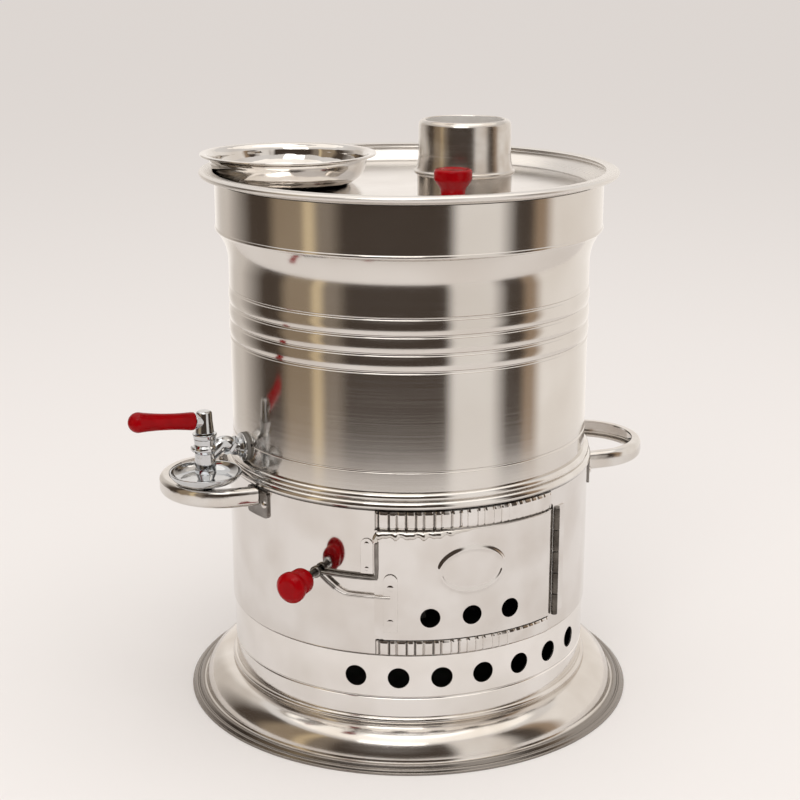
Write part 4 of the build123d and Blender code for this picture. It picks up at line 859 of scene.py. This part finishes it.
def pressed_sheet(width, height, thickness, relief, cell=0.6):
    """Thin sheet, centred, whose face stands out by relief(x, y); its back is one sheet behind."""
    bm = bmesh.new()
    bmesh.ops.create_grid(bm, x_segments=ceil(width / cell), y_segments=ceil(height / cell), size=0.5)
    bmesh.ops.scale(bm, vec=(width, height, 1), verts=bm.verts)
    for v in bm.verts:
        v.co.z = relief(v.co.x, v.co.y)
    back = bmesh.ops.duplicate(bm, geom=everything(bm))["geom"]
    bmesh.ops.translate(bm, vec=(0, 0, -thickness), verts=picked(back, BMVert))
    bmesh.ops.reverse_faces(bm, faces=picked(back, BMFace))
    bmesh.ops.bridge_loops(bm, edges=[e for e in bm.edges if e.is_boundary])
    return facing_out(bm)


def clipped(bm, corner, normal):
    """Cut a flat piece off along an upright plane and close the cut."""
    cut = bmesh.ops.bisect_plane(bm, geom=everything(bm), plane_co=(*corner, 0), plane_no=(*normal, 0),
                                 clear_outer=True)
    bmesh.ops.holes_fill(bm, edges=picked(cut["geom_cut"], BMEdge))
    return bm


print("a ridge 1 mm high stands", ridge(1, 2, 1), "mm at half its half-width")

# %% Door panel
BARREL_R = 1.9
BARREL_GAP = 0.45
HINGE_BEARING = DOOR_HALF + 1.7
HINGE_REACH = DOOR_R + 1.05
DOOR_END = HINGE_BEARING - degrees((BARREL_R + BARREL_GAP) / HINGE_REACH)
DOOR_W = radians(DOOR_END + DOOR_HALF) * DOOR_R
DOOR_H = DOOR_TOP - DOOR_BOTTOM
DOOR_BEARING = (DOOR_END - DOOR_HALF) / 2
DOOR_Z = (DOOR_TOP + DOOR_BOTTOM) / 2
DOOR_CUT = 5.5
DOOR_CUT_SLOPE = (-0.5, -0.87)
OVAL = (19.2, 12.7)
OVAL_Z = 112.0
RIB_HALF = 2.2
RIB_HEIGHT = 0.8
OVAL_DOME = 0.35
AIR_R = 5.8
AIR_Z = 84.4
AIR_PITCH = 12.6
DIMPLE_DEPTH = 0.2
DIMPLE_REACH = 2.6


def door_relief(x, y):
    """Height of the door's face above its plain curve, in millimetres."""
    along = x + radians(DOOR_BEARING) * DOOR_R
    up = y + DOOR_Z
    spread = max(hypot(along / OVAL[0], (up - OVAL_Z) / OVAL[1]), 0.05)
    from_oval = (1 - 1 / spread) * hypot(along, up - OVAL_Z)
    height = ridge(from_oval, RIB_HALF, RIB_HEIGHT) + (OVAL_DOME * (1 - spread ** 2) if spread < 1 else 0)
    for k in (-1, 0, 1):
        rim = hypot(along - radians(k * AIR_PITCH) * DOOR_R, up - AIR_Z) - AIR_R
        height -= DIMPLE_DEPTH * max(0, 1 - max(rim, 0) / DIMPLE_REACH) ** 2
    return height


door_sheet = clipped(pressed_sheet(DOOR_W, DOOR_H, SHEET, door_relief), (-DOOR_W / 2 + DOOR_CUT, -DOOR_H / 2),
                     DOOR_CUT_SLOPE)
rolled(door_sheet, DOOR_R, DOOR_BEARING, DOOR_Z)
air_pins = punch_pins(AIR_R, PUNCH_DEPTH, [(DOOR_R, k * AIR_PITCH, AIR_Z) for k in (-1, 0, 1)], segments=64)
piece("door_sheet", punched(door_sheet, air_pins), door_steel, "door_panel", body="fire_door")

# %% [markdown]
# The door's top edge is rolled over by hand, so the hem is thick and uneven at the arm's end and runs out
# towards the hinge. A ring of corners for each step along the edge, bridged to the next, follows that better
# than a plain pipe would. The roll's loose end curls down: `bent_wire` sweeps a round section along a path
# with the bevel of a curve, and hands back a mesh.

# %% Bent wire
HEM_R = 2.3
CURL_R = 0.72 * HEM_R


def bent_wire(points, radius, kind="POLY", sides=8):
    """Round bar along points given in metres; radius in millimetres."""
    curve = bpy.data.curves.new("wire", "CURVE")
    curve.dimensions = "3D"
    curve.bevel_depth = radius * MM
    curve.bevel_resolution = sides
    curve.use_fill_caps = True
    line = curve.splines.new(kind)
    line.points.add(len(points) - 1)
    for spot, place in zip(line.points, points):
        spot.co = (*place, 1)
    if kind == "NURBS":
        line.order_u = 3
        line.use_endpoint_u = True
        line.resolution_u = 10
    holder = in_scene("wire", curve)
    mesh = bpy.data.meshes.new_from_object(holder.evaluated_get(bpy.context.evaluated_depsgraph_get()))
    bm = bmesh.new()
    bm.from_mesh(mesh)
    bmesh.ops.remove_doubles(bm, verts=bm.verts, dist=WELD)
    bpy.data.curves.remove(curve)
    bpy.data.meshes.remove(mesh)
    return facing_out(bm)


hem_curl = bent_wire([polar(DOOR_R + 0.4, -DOOR_HALF + 1.0 - 0.7 * sin(k * pi / 8),
                            DOOR_TOP - HEM_R - 0.9 * k) for k in range(6)], CURL_R)
print("the curl of the hem has", len(hem_curl.faces), "faces")

# %% Door hem
HEM_THIN = 0.4
HEM_START = -DOOR_HALF + 0.9
HEM_END = 26.5
ROLL_OUT = 0.52
ROLL_FADE = 0.22
HAMMER_BLOWS = ((0.36, 83, 0), (0.24, 131, 1))


def hem_tube(start, end, steps=240):
    """Hand-rolled hem along the door's top edge, from one bearing to another, thick at its start."""
    bm = bmesh.new()
    rings = []
    for k in range(steps + 1):
        share = k / steps
        fade = max(0, min(1, (ROLL_OUT - share) / ROLL_FADE))
        hammered = sum(height * sin(share * rate + shift) for height, rate, shift in HAMMER_BLOWS)
        radius = HEM_THIN + (HEM_R - HEM_THIN + hammered) * fade
        turn = outward(DOOR_R + 0.3, start + (end - start) * share, DOOR_TOP - radius)
        ring = bmesh.ops.create_circle(bm, segments=24, radius=radius * MM,
                                       matrix=turn @ Matrix.Rotation(pi / 2, 4, "Y"))["verts"]
        rings.append([e for e in bm.edges if e.verts[0] in ring and e.verts[1] in ring])
    bmesh.ops.bridge_loops(bm, edges=[e for ring in rings for e in ring])
    bmesh.ops.holes_fill(bm, edges=[e for e in bm.edges if e.is_boundary])
    return facing_out(bm)


piece("door_hem", joined(hem_tube(HEM_START, HEM_END), hem_curl), pressed_steel, body="fire_door", crease=60)

# %% [markdown]
# The hinge is a curled barrel with five knuckles round a drawn pin. Three ride with the door, and two stay on
# the leaf that is spot welded to the firebox. A knuckle is a short spun tube, and the leaf is one more blank.

# %% Hinge
KNUCKLES = 5
KNUCKLE_GAP = 0.4
KNUCKLE = (DOOR_H - (KNUCKLES - 1) * KNUCKLE_GAP) / KNUCKLES
PIN_BORE = 0.96
LEAF_T = 0.8
LEAF_W = 8.5
hinge = polar(HINGE_REACH, HINGE_BEARING) / MM


def knuckle_set(parity):
    """Barrels of one leaf, taking every second place along the pin."""
    bottoms = [DOOR_BOTTOM + k * (KNUCKLE + KNUCKLE_GAP) for k in range(KNUCKLES) if k % 2 == parity]
    return joined(*[spun(soft_line((PIN_BORE, low, 0), (BARREL_R, low, 0.3), (BARREL_R, low + KNUCKLE, 0.3),
                                   (PIN_BORE, low + KNUCKLE, 0)), steps=32, centre=hinge) for low in bottoms])


leaf_bearing = 2 * HINGE_BEARING - DOOR_END + degrees(LEAF_W / 2 / FIREBOX_R)
leaf = rolled(blank(rounded_blank(LEAF_W, DOOR_H, 0.6), LEAF_T), FIREBOX_R, leaf_bearing, DOOR_Z)
piece("door_knuckles", knuckle_set(0), hinge_steel, body="fire_door")
piece("frame_leaf", leaf, door_steel, "frame_hinge_leaf")
piece("frame_knuckles", knuckle_set(1), hinge_steel)

# %% [markdown]
# Above and below the door a strip of thin sheet is crimped into flutes, deeper on the side of the arm. Hand
# crimping leaves no two alike, so each groove wanders a little in place and depth by a sine of its number.
# Beside the door, a plain tab with an arched top is the spring catch that the door's arm snaps over.

# %% Crimped strips
STRIP_SHEET = 0.45
STRIP_OUT = 0.6
STRIP_GAP = 0.8
FLUTES = 21
FLUTE_RISE = 1.3
CRIMP_HALF = 1.0
CRIMP_WANDER = 0.09
CRIMP_UNEVEN = 0.2
SHALLOWEST = 0.18
MIDDLE_DEPTH = 0.6
DEPTH_SLOPE = 1.4
SIDE_FADE = 1.2
END_FADE = 1.6
END_HEIGHT = 0.55


def crimped(bottom, top):
    """Fluted strip over the door's width: deep grooves by the arm, shallow ones by the hinge."""
    width = radians(2 * DOOR_HALF) * FIREBOX_R
    height = top - bottom
    pitch = width / (FLUTES + 1)

    def relief(x, y):
        nearest = round(x / pitch - 0.5) + 0.5
        wander = CRIMP_WANDER * pitch * sin(nearest * 3.7 + bottom)
        slope = max(SHALLOWEST, min(1, MIDDLE_DEPTH - DEPTH_SLOPE * x / width))
        depth = FLUTE_RISE * slope * (1 + CRIMP_UNEVEN * sin(nearest * 2.3 + bottom))
        groove = ridge(x - nearest * pitch - wander, CRIMP_HALF, min(depth, FLUTE_RISE))
        side = min(1, max(0, (width / 2 - 0.3 - abs(x)) / SIDE_FADE))
        end = min(1, max(0, (height / 2 - abs(y)) / END_FADE))
        rounding = (END_HEIGHT + (1 - END_HEIGHT) * sin(end * pi / 2)) * sin(side * pi / 2)
        return (FLUTE_RISE - groove) * rounding

    sheet = pressed_sheet(width, height, STRIP_SHEET, relief, cell=0.4)
    return rolled(sheet, FIREBOX_R + STRIP_OUT, 0, (bottom + top) / 2)


piece("upper_crimps", crimped(DOOR_TOP + STRIP_GAP, firebox_high.z), crimp_steel, "upper_crimp_strip")
piece("lower_crimps", crimped(firebox_low.z, DOOR_BOTTOM - STRIP_GAP), crimp_steel, "lower_crimp_strip")

# %% Spring catch
CATCH_W = 7.2
CATCH_H = 21.0
CATCH_LOW = 110.5
CATCH_T = 0.8
CATCH_GAP = 0.8
CATCH_RIVET = 3
catch_bearing = -DOOR_HALF - degrees((CATCH_GAP + CATCH_W / 2) / FIREBOX_R)


def arched_blank(width, height, thickness):
    """Flat plate with square feet and a round top, from y = 0 up."""
    feet = at((-width / 2, 0), (width / 2, 0))
    return blank(feet + arc(0, height - width / 2, width / 2, 0, 180, 16), thickness, strips=10)


def low_rivets(reach, bearing, heights, radius, rise):
    """Hammered-down rivet heads in a column."""
    head = [(0, -0.2), (radius, -0.2), (radius, 0), (radius * 0.75, rise * 0.7), (0, rise)]
    return joined(*[moved(spun(at(*head), steps=32), outward(reach, bearing, up)) for up in heights])


catch = rolled(arched_blank(CATCH_W, CATCH_H, CATCH_T), FIREBOX_R, catch_bearing, CATCH_LOW)
catch_heads = low_rivets(FIREBOX_R + CATCH_T, catch_bearing,
                         (CATCH_LOW + CATCH_RIVET, CATCH_LOW + CATCH_H - CATCH_RIVET), 1.3, 0.15)
piece("spring_catch", catch, door_steel, "door_catch", edge=0.3)
piece("catch_rivet_heads", catch_heads, door_steel, "catch_rivets")

# %% [markdown]
# ## Door arm and knob
#
# The arm is a wire bent once, riveted to the door through an arched plate, with a lighter brace under it. A
# hub at its end carries the knob. Wire is a swept circle, so each is a path of bearings and heights and one
# call of `bent_wire`. The knob is moulded, a spool with a broad face, and being round it is one more spin.

# %% Door arm
WIRE_R = 1.05
BRACE_R = 0.75 * WIRE_R
ARM_LINE = DOOR_R + 1.3
ARM_BEARING = -46.5
ARM_Z = 108.5
ARM_LOW_Z = 97.2
ARM_TOP_Z = 129.5
ARM_TURN = -28.2
ARM_BEND = -38.5
ARM_PLATE_BEARING = -24.2
ARM_PLATE_W = 8.0
ARM_PLATE_H = 35.0
ARM_PLATE_Z = 76.0
ARM_RIVETS = (6.0, 26.8)
ARM_SLOT = "plain_steel"


def arm_path(*places):
    """Points along the arm's own radius, from (bearing, height) pairs."""
    return [polar(ARM_LINE, bearing, z) for bearing, z in places]


arm_rod = arm_path(*[(ARM_BEARING + (ARM_TURN - ARM_BEARING) * k / 12, ARM_Z) for k in range(13)],
                   *[(ARM_TURN, ARM_Z + (ARM_TOP_Z - ARM_Z) * k / 4) for k in range(1, 5)])
arm_hook = arm_path((ARM_BEARING + 0.8, ARM_Z - 0.9), (-43.0, 103.4), (-40.6, 100.2))
arm_brace = arm_path((-40.8, 100.4), *[(b, ARM_LOW_Z) for b in (ARM_BEND, -34, -29, ARM_PLATE_BEARING)])
hub_line = soft_line((0, 0, 0), (3.4, 0, 0.5), (3.4, 3.4, 0.8), (2.0, 3.4, 0), (2.0, 12.5, 0), (0, 12.5, 0))
hub = moved(spun(hub_line, steps=40), outward(ARM_LINE - WIRE_R, ARM_BEARING, ARM_Z))
arm_heads = low_rivets(DOOR_R + SHEET, ARM_PLATE_BEARING, [ARM_PLATE_Z + up for up in ARM_RIVETS], 2.0, 0.2)
arm_plate = rolled(arched_blank(ARM_PLATE_W, ARM_PLATE_H, SHEET), DOOR_R, ARM_PLATE_BEARING, ARM_PLATE_Z)
piece("arm_wire", joined(bent_wire(arm_rod, WIRE_R), bent_wire(arm_hook, WIRE_R), hub), wire_steel,
      body="fire_door", slot=ARM_SLOT)
piece("arm_brace", bent_wire(arm_brace, BRACE_R, "NURBS"), door_steel, body="fire_door", slot=ARM_SLOT)
piece("arm_rivet_heads", arm_heads, door_steel, "door_arm_rivets", body="fire_door", slot=ARM_SLOT)
piece("arm_plate", arm_plate, door_steel, "door_arm", body="fire_door", slot=ARM_SLOT, edge=0.35)

# %% Door knob
KNOB_START = ARM_LINE + 12.0
KNOB_FACE = 19.6

door_knob = soft_line((0, 0, 0), (4.6, 0, 0.8), (7.5, 3.4, 2.8), (7.5, 8.0, 3.0), (5.2, 11.2, 2.2),
                      (8.9, 13.6, 1.4), (9.0, 16.6, 1.6), (6.0, KNOB_FACE, 3.0), (0, KNOB_FACE, 0))
piece("arm_knob", moved(spun(door_knob, steps=96), outward(KNOB_START, ARM_BEARING, ARM_Z)), red_plastic,
      "door_knob", body="fire_door", slot="red_plastic")

# %% [markdown]
# ## Tap
#
# The tap is chrome-plated: a swan-neck that leaves the wall through a bell-shaped rose and a collar nut, a
# barrel with the turning plug in it, a spout, and a shallow cup round the barrel that catches drips. Its
# axis is read from the frame, from the cup's box. Round parts are spun on that axis, and the neck is swept.

# %% Tap barrel
CHROME_SLOT = "chrome_plate"
cup_low, cup_high = size_of("drip_cup")
tap_axis = (cup_low + cup_high) / 2
TAP = (tap_axis.x, tap_axis.y)
TAP_REACH = hypot(*TAP)
TAP_BEARING = degrees(atan2(tap_axis.x, -tap_axis.y))
TAP_Z = 167.0
BARREL_TOP = TAP_Z + 8.5
BARREL_BOTTOM = TAP_Z - 16.5
SPOUT_BOTTOM = BARREL_BOTTOM - 16
SPOUT_R = 4.8
SPOUT_BORE = 3.0
FLANGE_Z = TAP_Z + 1.0
STOP_LUG = (5.0, 3.0, 3.2)

barrel_line = soft_line((0, BARREL_TOP, 0), (6.5, BARREL_TOP, 0.4), (6.1, FLANGE_Z + 3.8, 1.0),
                        (7.2, FLANGE_Z + 2.4, 1.0), (7.2, FLANGE_Z + 0.6, 1.0), (6.1, FLANGE_Z - 1.2, 1.5),
                        (6.3, BARREL_BOTTOM + 4, 2.0), (SPOUT_R, BARREL_BOTTOM, 1.0),
                        (SPOUT_R, SPOUT_BOTTOM, 1.0), (SPOUT_BORE, SPOUT_BOTTOM, 0.4),
                        (SPOUT_BORE, BARREL_BOTTOM, 0), (0, BARREL_BOTTOM, 0))
stop_lug = bmesh.new()
bmesh.ops.create_cube(stop_lug, size=1)
bmesh.ops.scale(stop_lug, vec=[side * MM for side in STOP_LUG], verts=stop_lug.verts)
bmesh.ops.bevel(stop_lug, geom=stop_lug.edges[:], offset=0.7 * MM, segments=3, profile=0.5, affect="EDGES",
                material=-1)
moved(stop_lug, outward(TAP_REACH + 6.6, TAP_BEARING, FLANGE_Z + 1.7))
piece("tap_barrel", joined(spun(barrel_line, steps=96, centre=TAP), stop_lug), chrome, "tap_body",
      slot=CHROME_SLOT)

# %% Neck, rose and collar nut
NECK_R = 4.6
GASKET_END = TANK_R + 1.6
NECK_START = GASKET_END + 5.2
NECK_RUN = 6.7
NECK_RISE = 5.0
NUT_AT = 1.8
NUT_T = 2.6
NUT_R = 6.2

neck_path = soft_line((TANK_R - 11, TAP_Z, 0), (NECK_START, TAP_Z, 5.0),
                      (NECK_START + NECK_RUN, TAP_Z + NECK_RISE, 5.0), (TAP_REACH, TAP_Z - 4.0, 0))
neck = bent_wire([polar(p.x, TAP_BEARING, p.y) for p in neck_path], NECK_R, sides=14)
rose = soft_line((NECK_R, 0, 0), (8.4, 0, 0.4), (8.4, 1.0, 0.4), (6.4, 1.5, 1.2), (5.2, 3.4, 0.3),
                 (NECK_R, 3.4, 0))
collar_nut = bmesh.new()
add_pin(collar_nut, NUT_R, NUT_T, Matrix.Translation((0, 0, (NUT_AT + NUT_T / 2) * MM)), 6)
moved(collar_nut, outward(NECK_START, TAP_BEARING, TAP_Z)
      @ Matrix.Rotation(-atan2(NECK_RISE, NECK_RUN), 4, "X"))
piece("swan_neck", neck, chrome, slot=CHROME_SLOT, crease=50)
piece("tap_rose", moved(spun(rose, steps=64), outward(GASKET_END, TAP_BEARING, TAP_Z)), chrome,
      "tap_escutcheon", slot=CHROME_SLOT)
piece("collar_nut", collar_nut, chrome, "tap_hex_nut", slot=CHROME_SLOT, crease=30, edge=0.4)

# %% Drip cup and gland
CUP_R = (cup_high.x - cup_low.x) / 2
CUP_Z = cup_low.z
CUP_RIM = CUP_Z + 5.4
CUP_FLAT = 14.5
CUP_SHEET = 1.0
STEM_BORE = 3.3

cup_line = at((SPOUT_R, CUP_Z))
cup_line += through((CUP_FLAT, CUP_Z), (CUP_R - 2.0, CUP_Z + 1.8), (CUP_R, CUP_RIM), 16)
cup_line += arc(CUP_R - CUP_SHEET / 2, CUP_RIM, CUP_SHEET / 2, 0, 180, 8)[1:]
cup_line += through((CUP_R - CUP_SHEET, CUP_RIM), (CUP_R - 3.0, CUP_Z + 2.5),
                    (CUP_FLAT, CUP_Z + CUP_SHEET), 16)[1:]
cup_line += at((SPOUT_R, CUP_Z + CUP_SHEET))
piece("catch_cup", spun(cup_line, steps=128, centre=TAP), chrome, "drip_cup", slot=CHROME_SLOT)

gland_line = soft_line((STEM_BORE, BARREL_TOP, 0), (6.5, BARREL_TOP, 0.2), (7.1, BARREL_TOP + 2.4, 0.2),
                       (7.0, BARREL_TOP + 3.0, 0.3), (STEM_BORE, BARREL_TOP + 3.0, 0))
piece("gland_cap", spun(gland_line, steps=64, centre=TAP), chrome, "gland_nut", slot=CHROME_SLOT)

# %% [markdown]
# The lever is an elbow on the plug's stem. Its grip is a moulded sleeve that swells to a round end. Both are
# turned shapes, made upright and then laid along the lever's own line, which climbs by six degrees.

# %% Lever and grip
LEVER_Z = BARREL_TOP + 3.5
LEVER_H = 13.6
LEVER_TOP = LEVER_Z + LEVER_H - 0.6
LEVER_TILT = 6.0
GRIP_START = 6.2
GRIP_LENGTH = 39.5
GRIP_R = 5.3
BULB_R = 6.0
BULB_Z = GRIP_START + GRIP_LENGTH - BULB_R
SOCKET = 4.5

lever_line = soft_line((0, LEVER_Z, 0), (5.6, LEVER_Z, 0.4), (4.9, LEVER_Z + 7, 12), (4.6, LEVER_TOP, 1.7),
                       (0, LEVER_TOP, 0))
lever_turn = (outward(TAP_REACH, TAP_BEARING, LEVER_Z + LEVER_H / 2)
              @ Matrix.Rotation(-radians(LEVER_TILT), 4, "X"))
socket = spun(soft_line((0, 0, 0), (SOCKET, 0, 0), (SOCKET, GRIP_START, 0.5), (0, GRIP_START, 0)), steps=64)
lever = joined(spun(lever_line, steps=64, centre=TAP), moved(socket, lever_turn))
piece("lever_elbow", lever, chrome, "tap_lever", body="tap_key", slot=CHROME_SLOT)

grip_line = soft_line((0, GRIP_START, 0), (GRIP_R - 0.1, GRIP_START, 0.8), (GRIP_R, GRIP_START + 2, 0))
grip_line += through((GRIP_R, GRIP_START + 2.5), (GRIP_R - 0.45, GRIP_START + 19), (BULB_R, BULB_Z), 16)
grip_line += arc(0, BULB_Z, BULB_R, 6, 90, 12)
piece("lever_sleeve", moved(spun(grip_line, steps=64), lever_turn), red_plastic, "lever_grip", body="tap_key",
      slot="red_plastic")

# %% [markdown]
# ## Finishes for the pieces that stay as packed
#
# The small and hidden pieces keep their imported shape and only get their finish: rivets, the pin, the nut and
# seals of the tank, the plug, the grate and the floors.

# %% Finishes
FINISHES = {
    door_steel: ["handle_rivets"],
    wire_steel: ["hinge_pin", "lid_knob_washer", "lid_knob_screw"],
    inner_steel: ["tank_floor", "ash_floor", "grate_ring"],
    brass: ["tap_plug", "tap_locknut"],
    rubber: ["tap_gasket", "inner_gasket"],
    chrome: ["knob_ferrule"],
    iron: ["grate"]}
for material, nodes in FINISHES.items():
    for node in nodes:
        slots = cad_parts[node].data.materials
        slots.clear()
        slots.append(material)
print("packed pieces still shown:", len([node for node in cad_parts.values() if not node.hide_render]))

# %% [markdown]
# ## Studio
#
# Polished steel shows what stands round it more than its own colour. A real kitchen gives it a pale table, a
# pale wall and the dark of the room behind the onlooker. The table is the floor here. The room is a round
# screen that only reflections see: it casts no shadow, lights nothing and hides nothing from the camera. Its
# colours run round it by bearing from the onlooker, as they would in a room. A ring-shaped ceiling light is
# made the same way: it puts the white lines on the rims and beads. The stage's own sizes are in metres.

# %% Floor
FLOOR_R = 24.0


def stage_piece(name, bm, material, unseen_by=()):
    """Stage object that is hidden from the given kinds of ray."""
    made = in_scene(name, as_mesh(name, bm))
    made.data.materials.append(material)
    for ray in unseen_by:
        setattr(made, f"visible_{ray}", False)


floor = bmesh.new()
bmesh.ops.create_circle(floor, cap_ends=True, segments=96, radius=FLOOR_R)
stone, tree, shader, place = new_material("pale_stone_top")
set_inputs(tree, shader, {"Base Color": srgb("#E9E6E4"), "Roughness": 0.7, "Specular IOR Level": 0.0})
stage_piece("floor", floor, stone)
print("the floor is", 2 * FLOOR_R, "m across")

# %% Room screen
ONLY_REFLECTED = ("camera", "diffuse", "shadow", "transmission")
SCREEN_R = 0.62
SCREEN_H = 0.62
SCREEN_FOOT = 0.0005
SCREEN_GLOW = 1.18
VIEW_BEARING = -19.0
ROOM = [("pale wall behind", -180, -150, "#F2ECE6"), ("shaded wall", -136, -122, "#D2CBC4"),
        ("dark cupboard", -95, -82, "#4A4038"), ("olive curtain", -74, -59, "#93836F"),
        ("lit curtain edge", -55, -52.5, "#D2BE9B"), ("grey wall", -48, -42, "#857A6E"),
        ("dark doorway", -34, 20, "#453C35"), ("window", 26, 48, "#E9E4DF"),
        ("window frame", 59, 67, "#4A413A"), ("wooden shelf", 73, 77, "#9A8570"),
        ("pale wall beside", 85, 130, "#F0EAE4"), ("pale wall behind", 150, 180, "#F2ECE6")]

screen = bmesh.new()
low, high = [screen.verts.new((SCREEN_R, 0, z)) for z in (SCREEN_FOOT, SCREEN_H)]
edge = screen.edges.new((low, high))
bmesh.ops.spin(screen, geom=[low, high, edge], cent=(0, 0, 0), axis=(0, 0, 1), angle=2 * pi, steps=128,
               use_merge=True)
room, tree, glow, place = new_material("room_seen_in_metal", "ShaderNodeEmission")
turned = add_node(tree, "ShaderNodeMapping", {
    "Vector": place, "Rotation": (0, 0, radians(90 - VIEW_BEARING))}, vector_type="POINT")
around = add_node(tree, "ShaderNodeTexGradient", {"Vector": turned}, gradient_type="RADIAL")
ramp = add_node(tree, "ShaderNodeValToRGB", {"Fac": around.outputs["Fac"]})
elements = ramp.color_ramp.elements
stops = [((bearing + 180) / 360, colour) for _, first, last, colour in ROOM for bearing in (first, last)]
for position, colour in stops[1:-1]:
    elements.new(position).color = srgb(colour)
elements[0].color = srgb(stops[0][1])
elements[-1].color = srgb(stops[-1][1])
set_inputs(tree, glow, {"Color": ramp, "Strength": SCREEN_GLOW})
stage_piece("room_screen", screen, room, ONLY_REFLECTED)
print("room reflected in", len(ROOM), "stretches")

# %% Ceiling light
CEILING = (0.42, 0.95)
CEILING_Z = 1.3
CEILING_GLOW = 1.45

ceiling = bmesh.new()
for reach in CEILING:
    bmesh.ops.create_circle(ceiling, segments=64, radius=reach, matrix=Matrix.Translation((0, 0, CEILING_Z)))
bmesh.ops.bridge_loops(ceiling, edges=ceiling.edges[:])
bright, tree, glow, place = new_material("ceiling_light_seen_in_metal", "ShaderNodeEmission")
set_inputs(tree, glow, {"Color": srgb("#FFFAF4"), "Strength": CEILING_GLOW})
stage_piece("ceiling_light", ceiling, bright, ONLY_REFLECTED)
print("the ceiling ring is", round(CEILING[1] - CEILING[0], 2), "m wide")

# %% [markdown]
# The world gives an even, slightly warm light from all round, and two large soft lamps add a direction: one
# from the onlooker's upper left and a weaker one from above. The camera is a moderate telephoto lens about a
# metre away, looking down on the lid.

# %% Light
world = bpy.data.worlds.new("pale_room")
bpy.context.scene.world = world
world.use_nodes = True
set_inputs(world.node_tree, world.node_tree.nodes["Background"], {"Color": srgb("#E6E2DF"), "Strength": 1.12})


def soft_box(name, place, aim, size, power, colour="#FFFFFF"):
    """Square area lamp that looks at a point; place, aim and size in metres."""
    lamp = bpy.data.lights.new(name, "AREA")
    lamp.shape = "SQUARE"
    lamp.size = size
    lamp.energy = power
    lamp.color = srgb(colour)[:3]
    holder = in_scene(name, lamp)
    holder.location = place
    holder.rotation_euler = (Vector(aim) - Vector(place)).to_track_quat("-Z", "Y").to_euler()


soft_box("upper_left", (-0.8, -1.4, 1.5), (0, -0.1, 0.15), 1.1, 9.5, "#FFFDFA")
soft_box("overhead", (0.2, -0.3, 1.9), (0, -0.1, 0.1), 1.4, 7.5)
print("lamps:", len(bpy.data.lights))

# %% Camera
FOCAL = 72.5
SENSOR = 36
CAMERA_REACH = 0.9558
CAMERA_Z = 0.4492
CAMERA_PITCH = 15.64
CAMERA_YAW = 0.32

lens = bpy.data.cameras.new("camera")
lens.lens = FOCAL
lens.sensor_width = SENSOR
camera = in_scene("camera", lens)
camera.location = polar(CAMERA_REACH / MM, VIEW_BEARING, CAMERA_Z / MM)
camera.rotation_euler = (radians(90 - CAMERA_PITCH), 0, radians(VIEW_BEARING + CAMERA_YAW))
bpy.context.scene.camera = camera
bpy.context.scene.view_settings.view_transform = "Standard"
print("the camera looks down by", CAMERA_PITCH, "degrees")
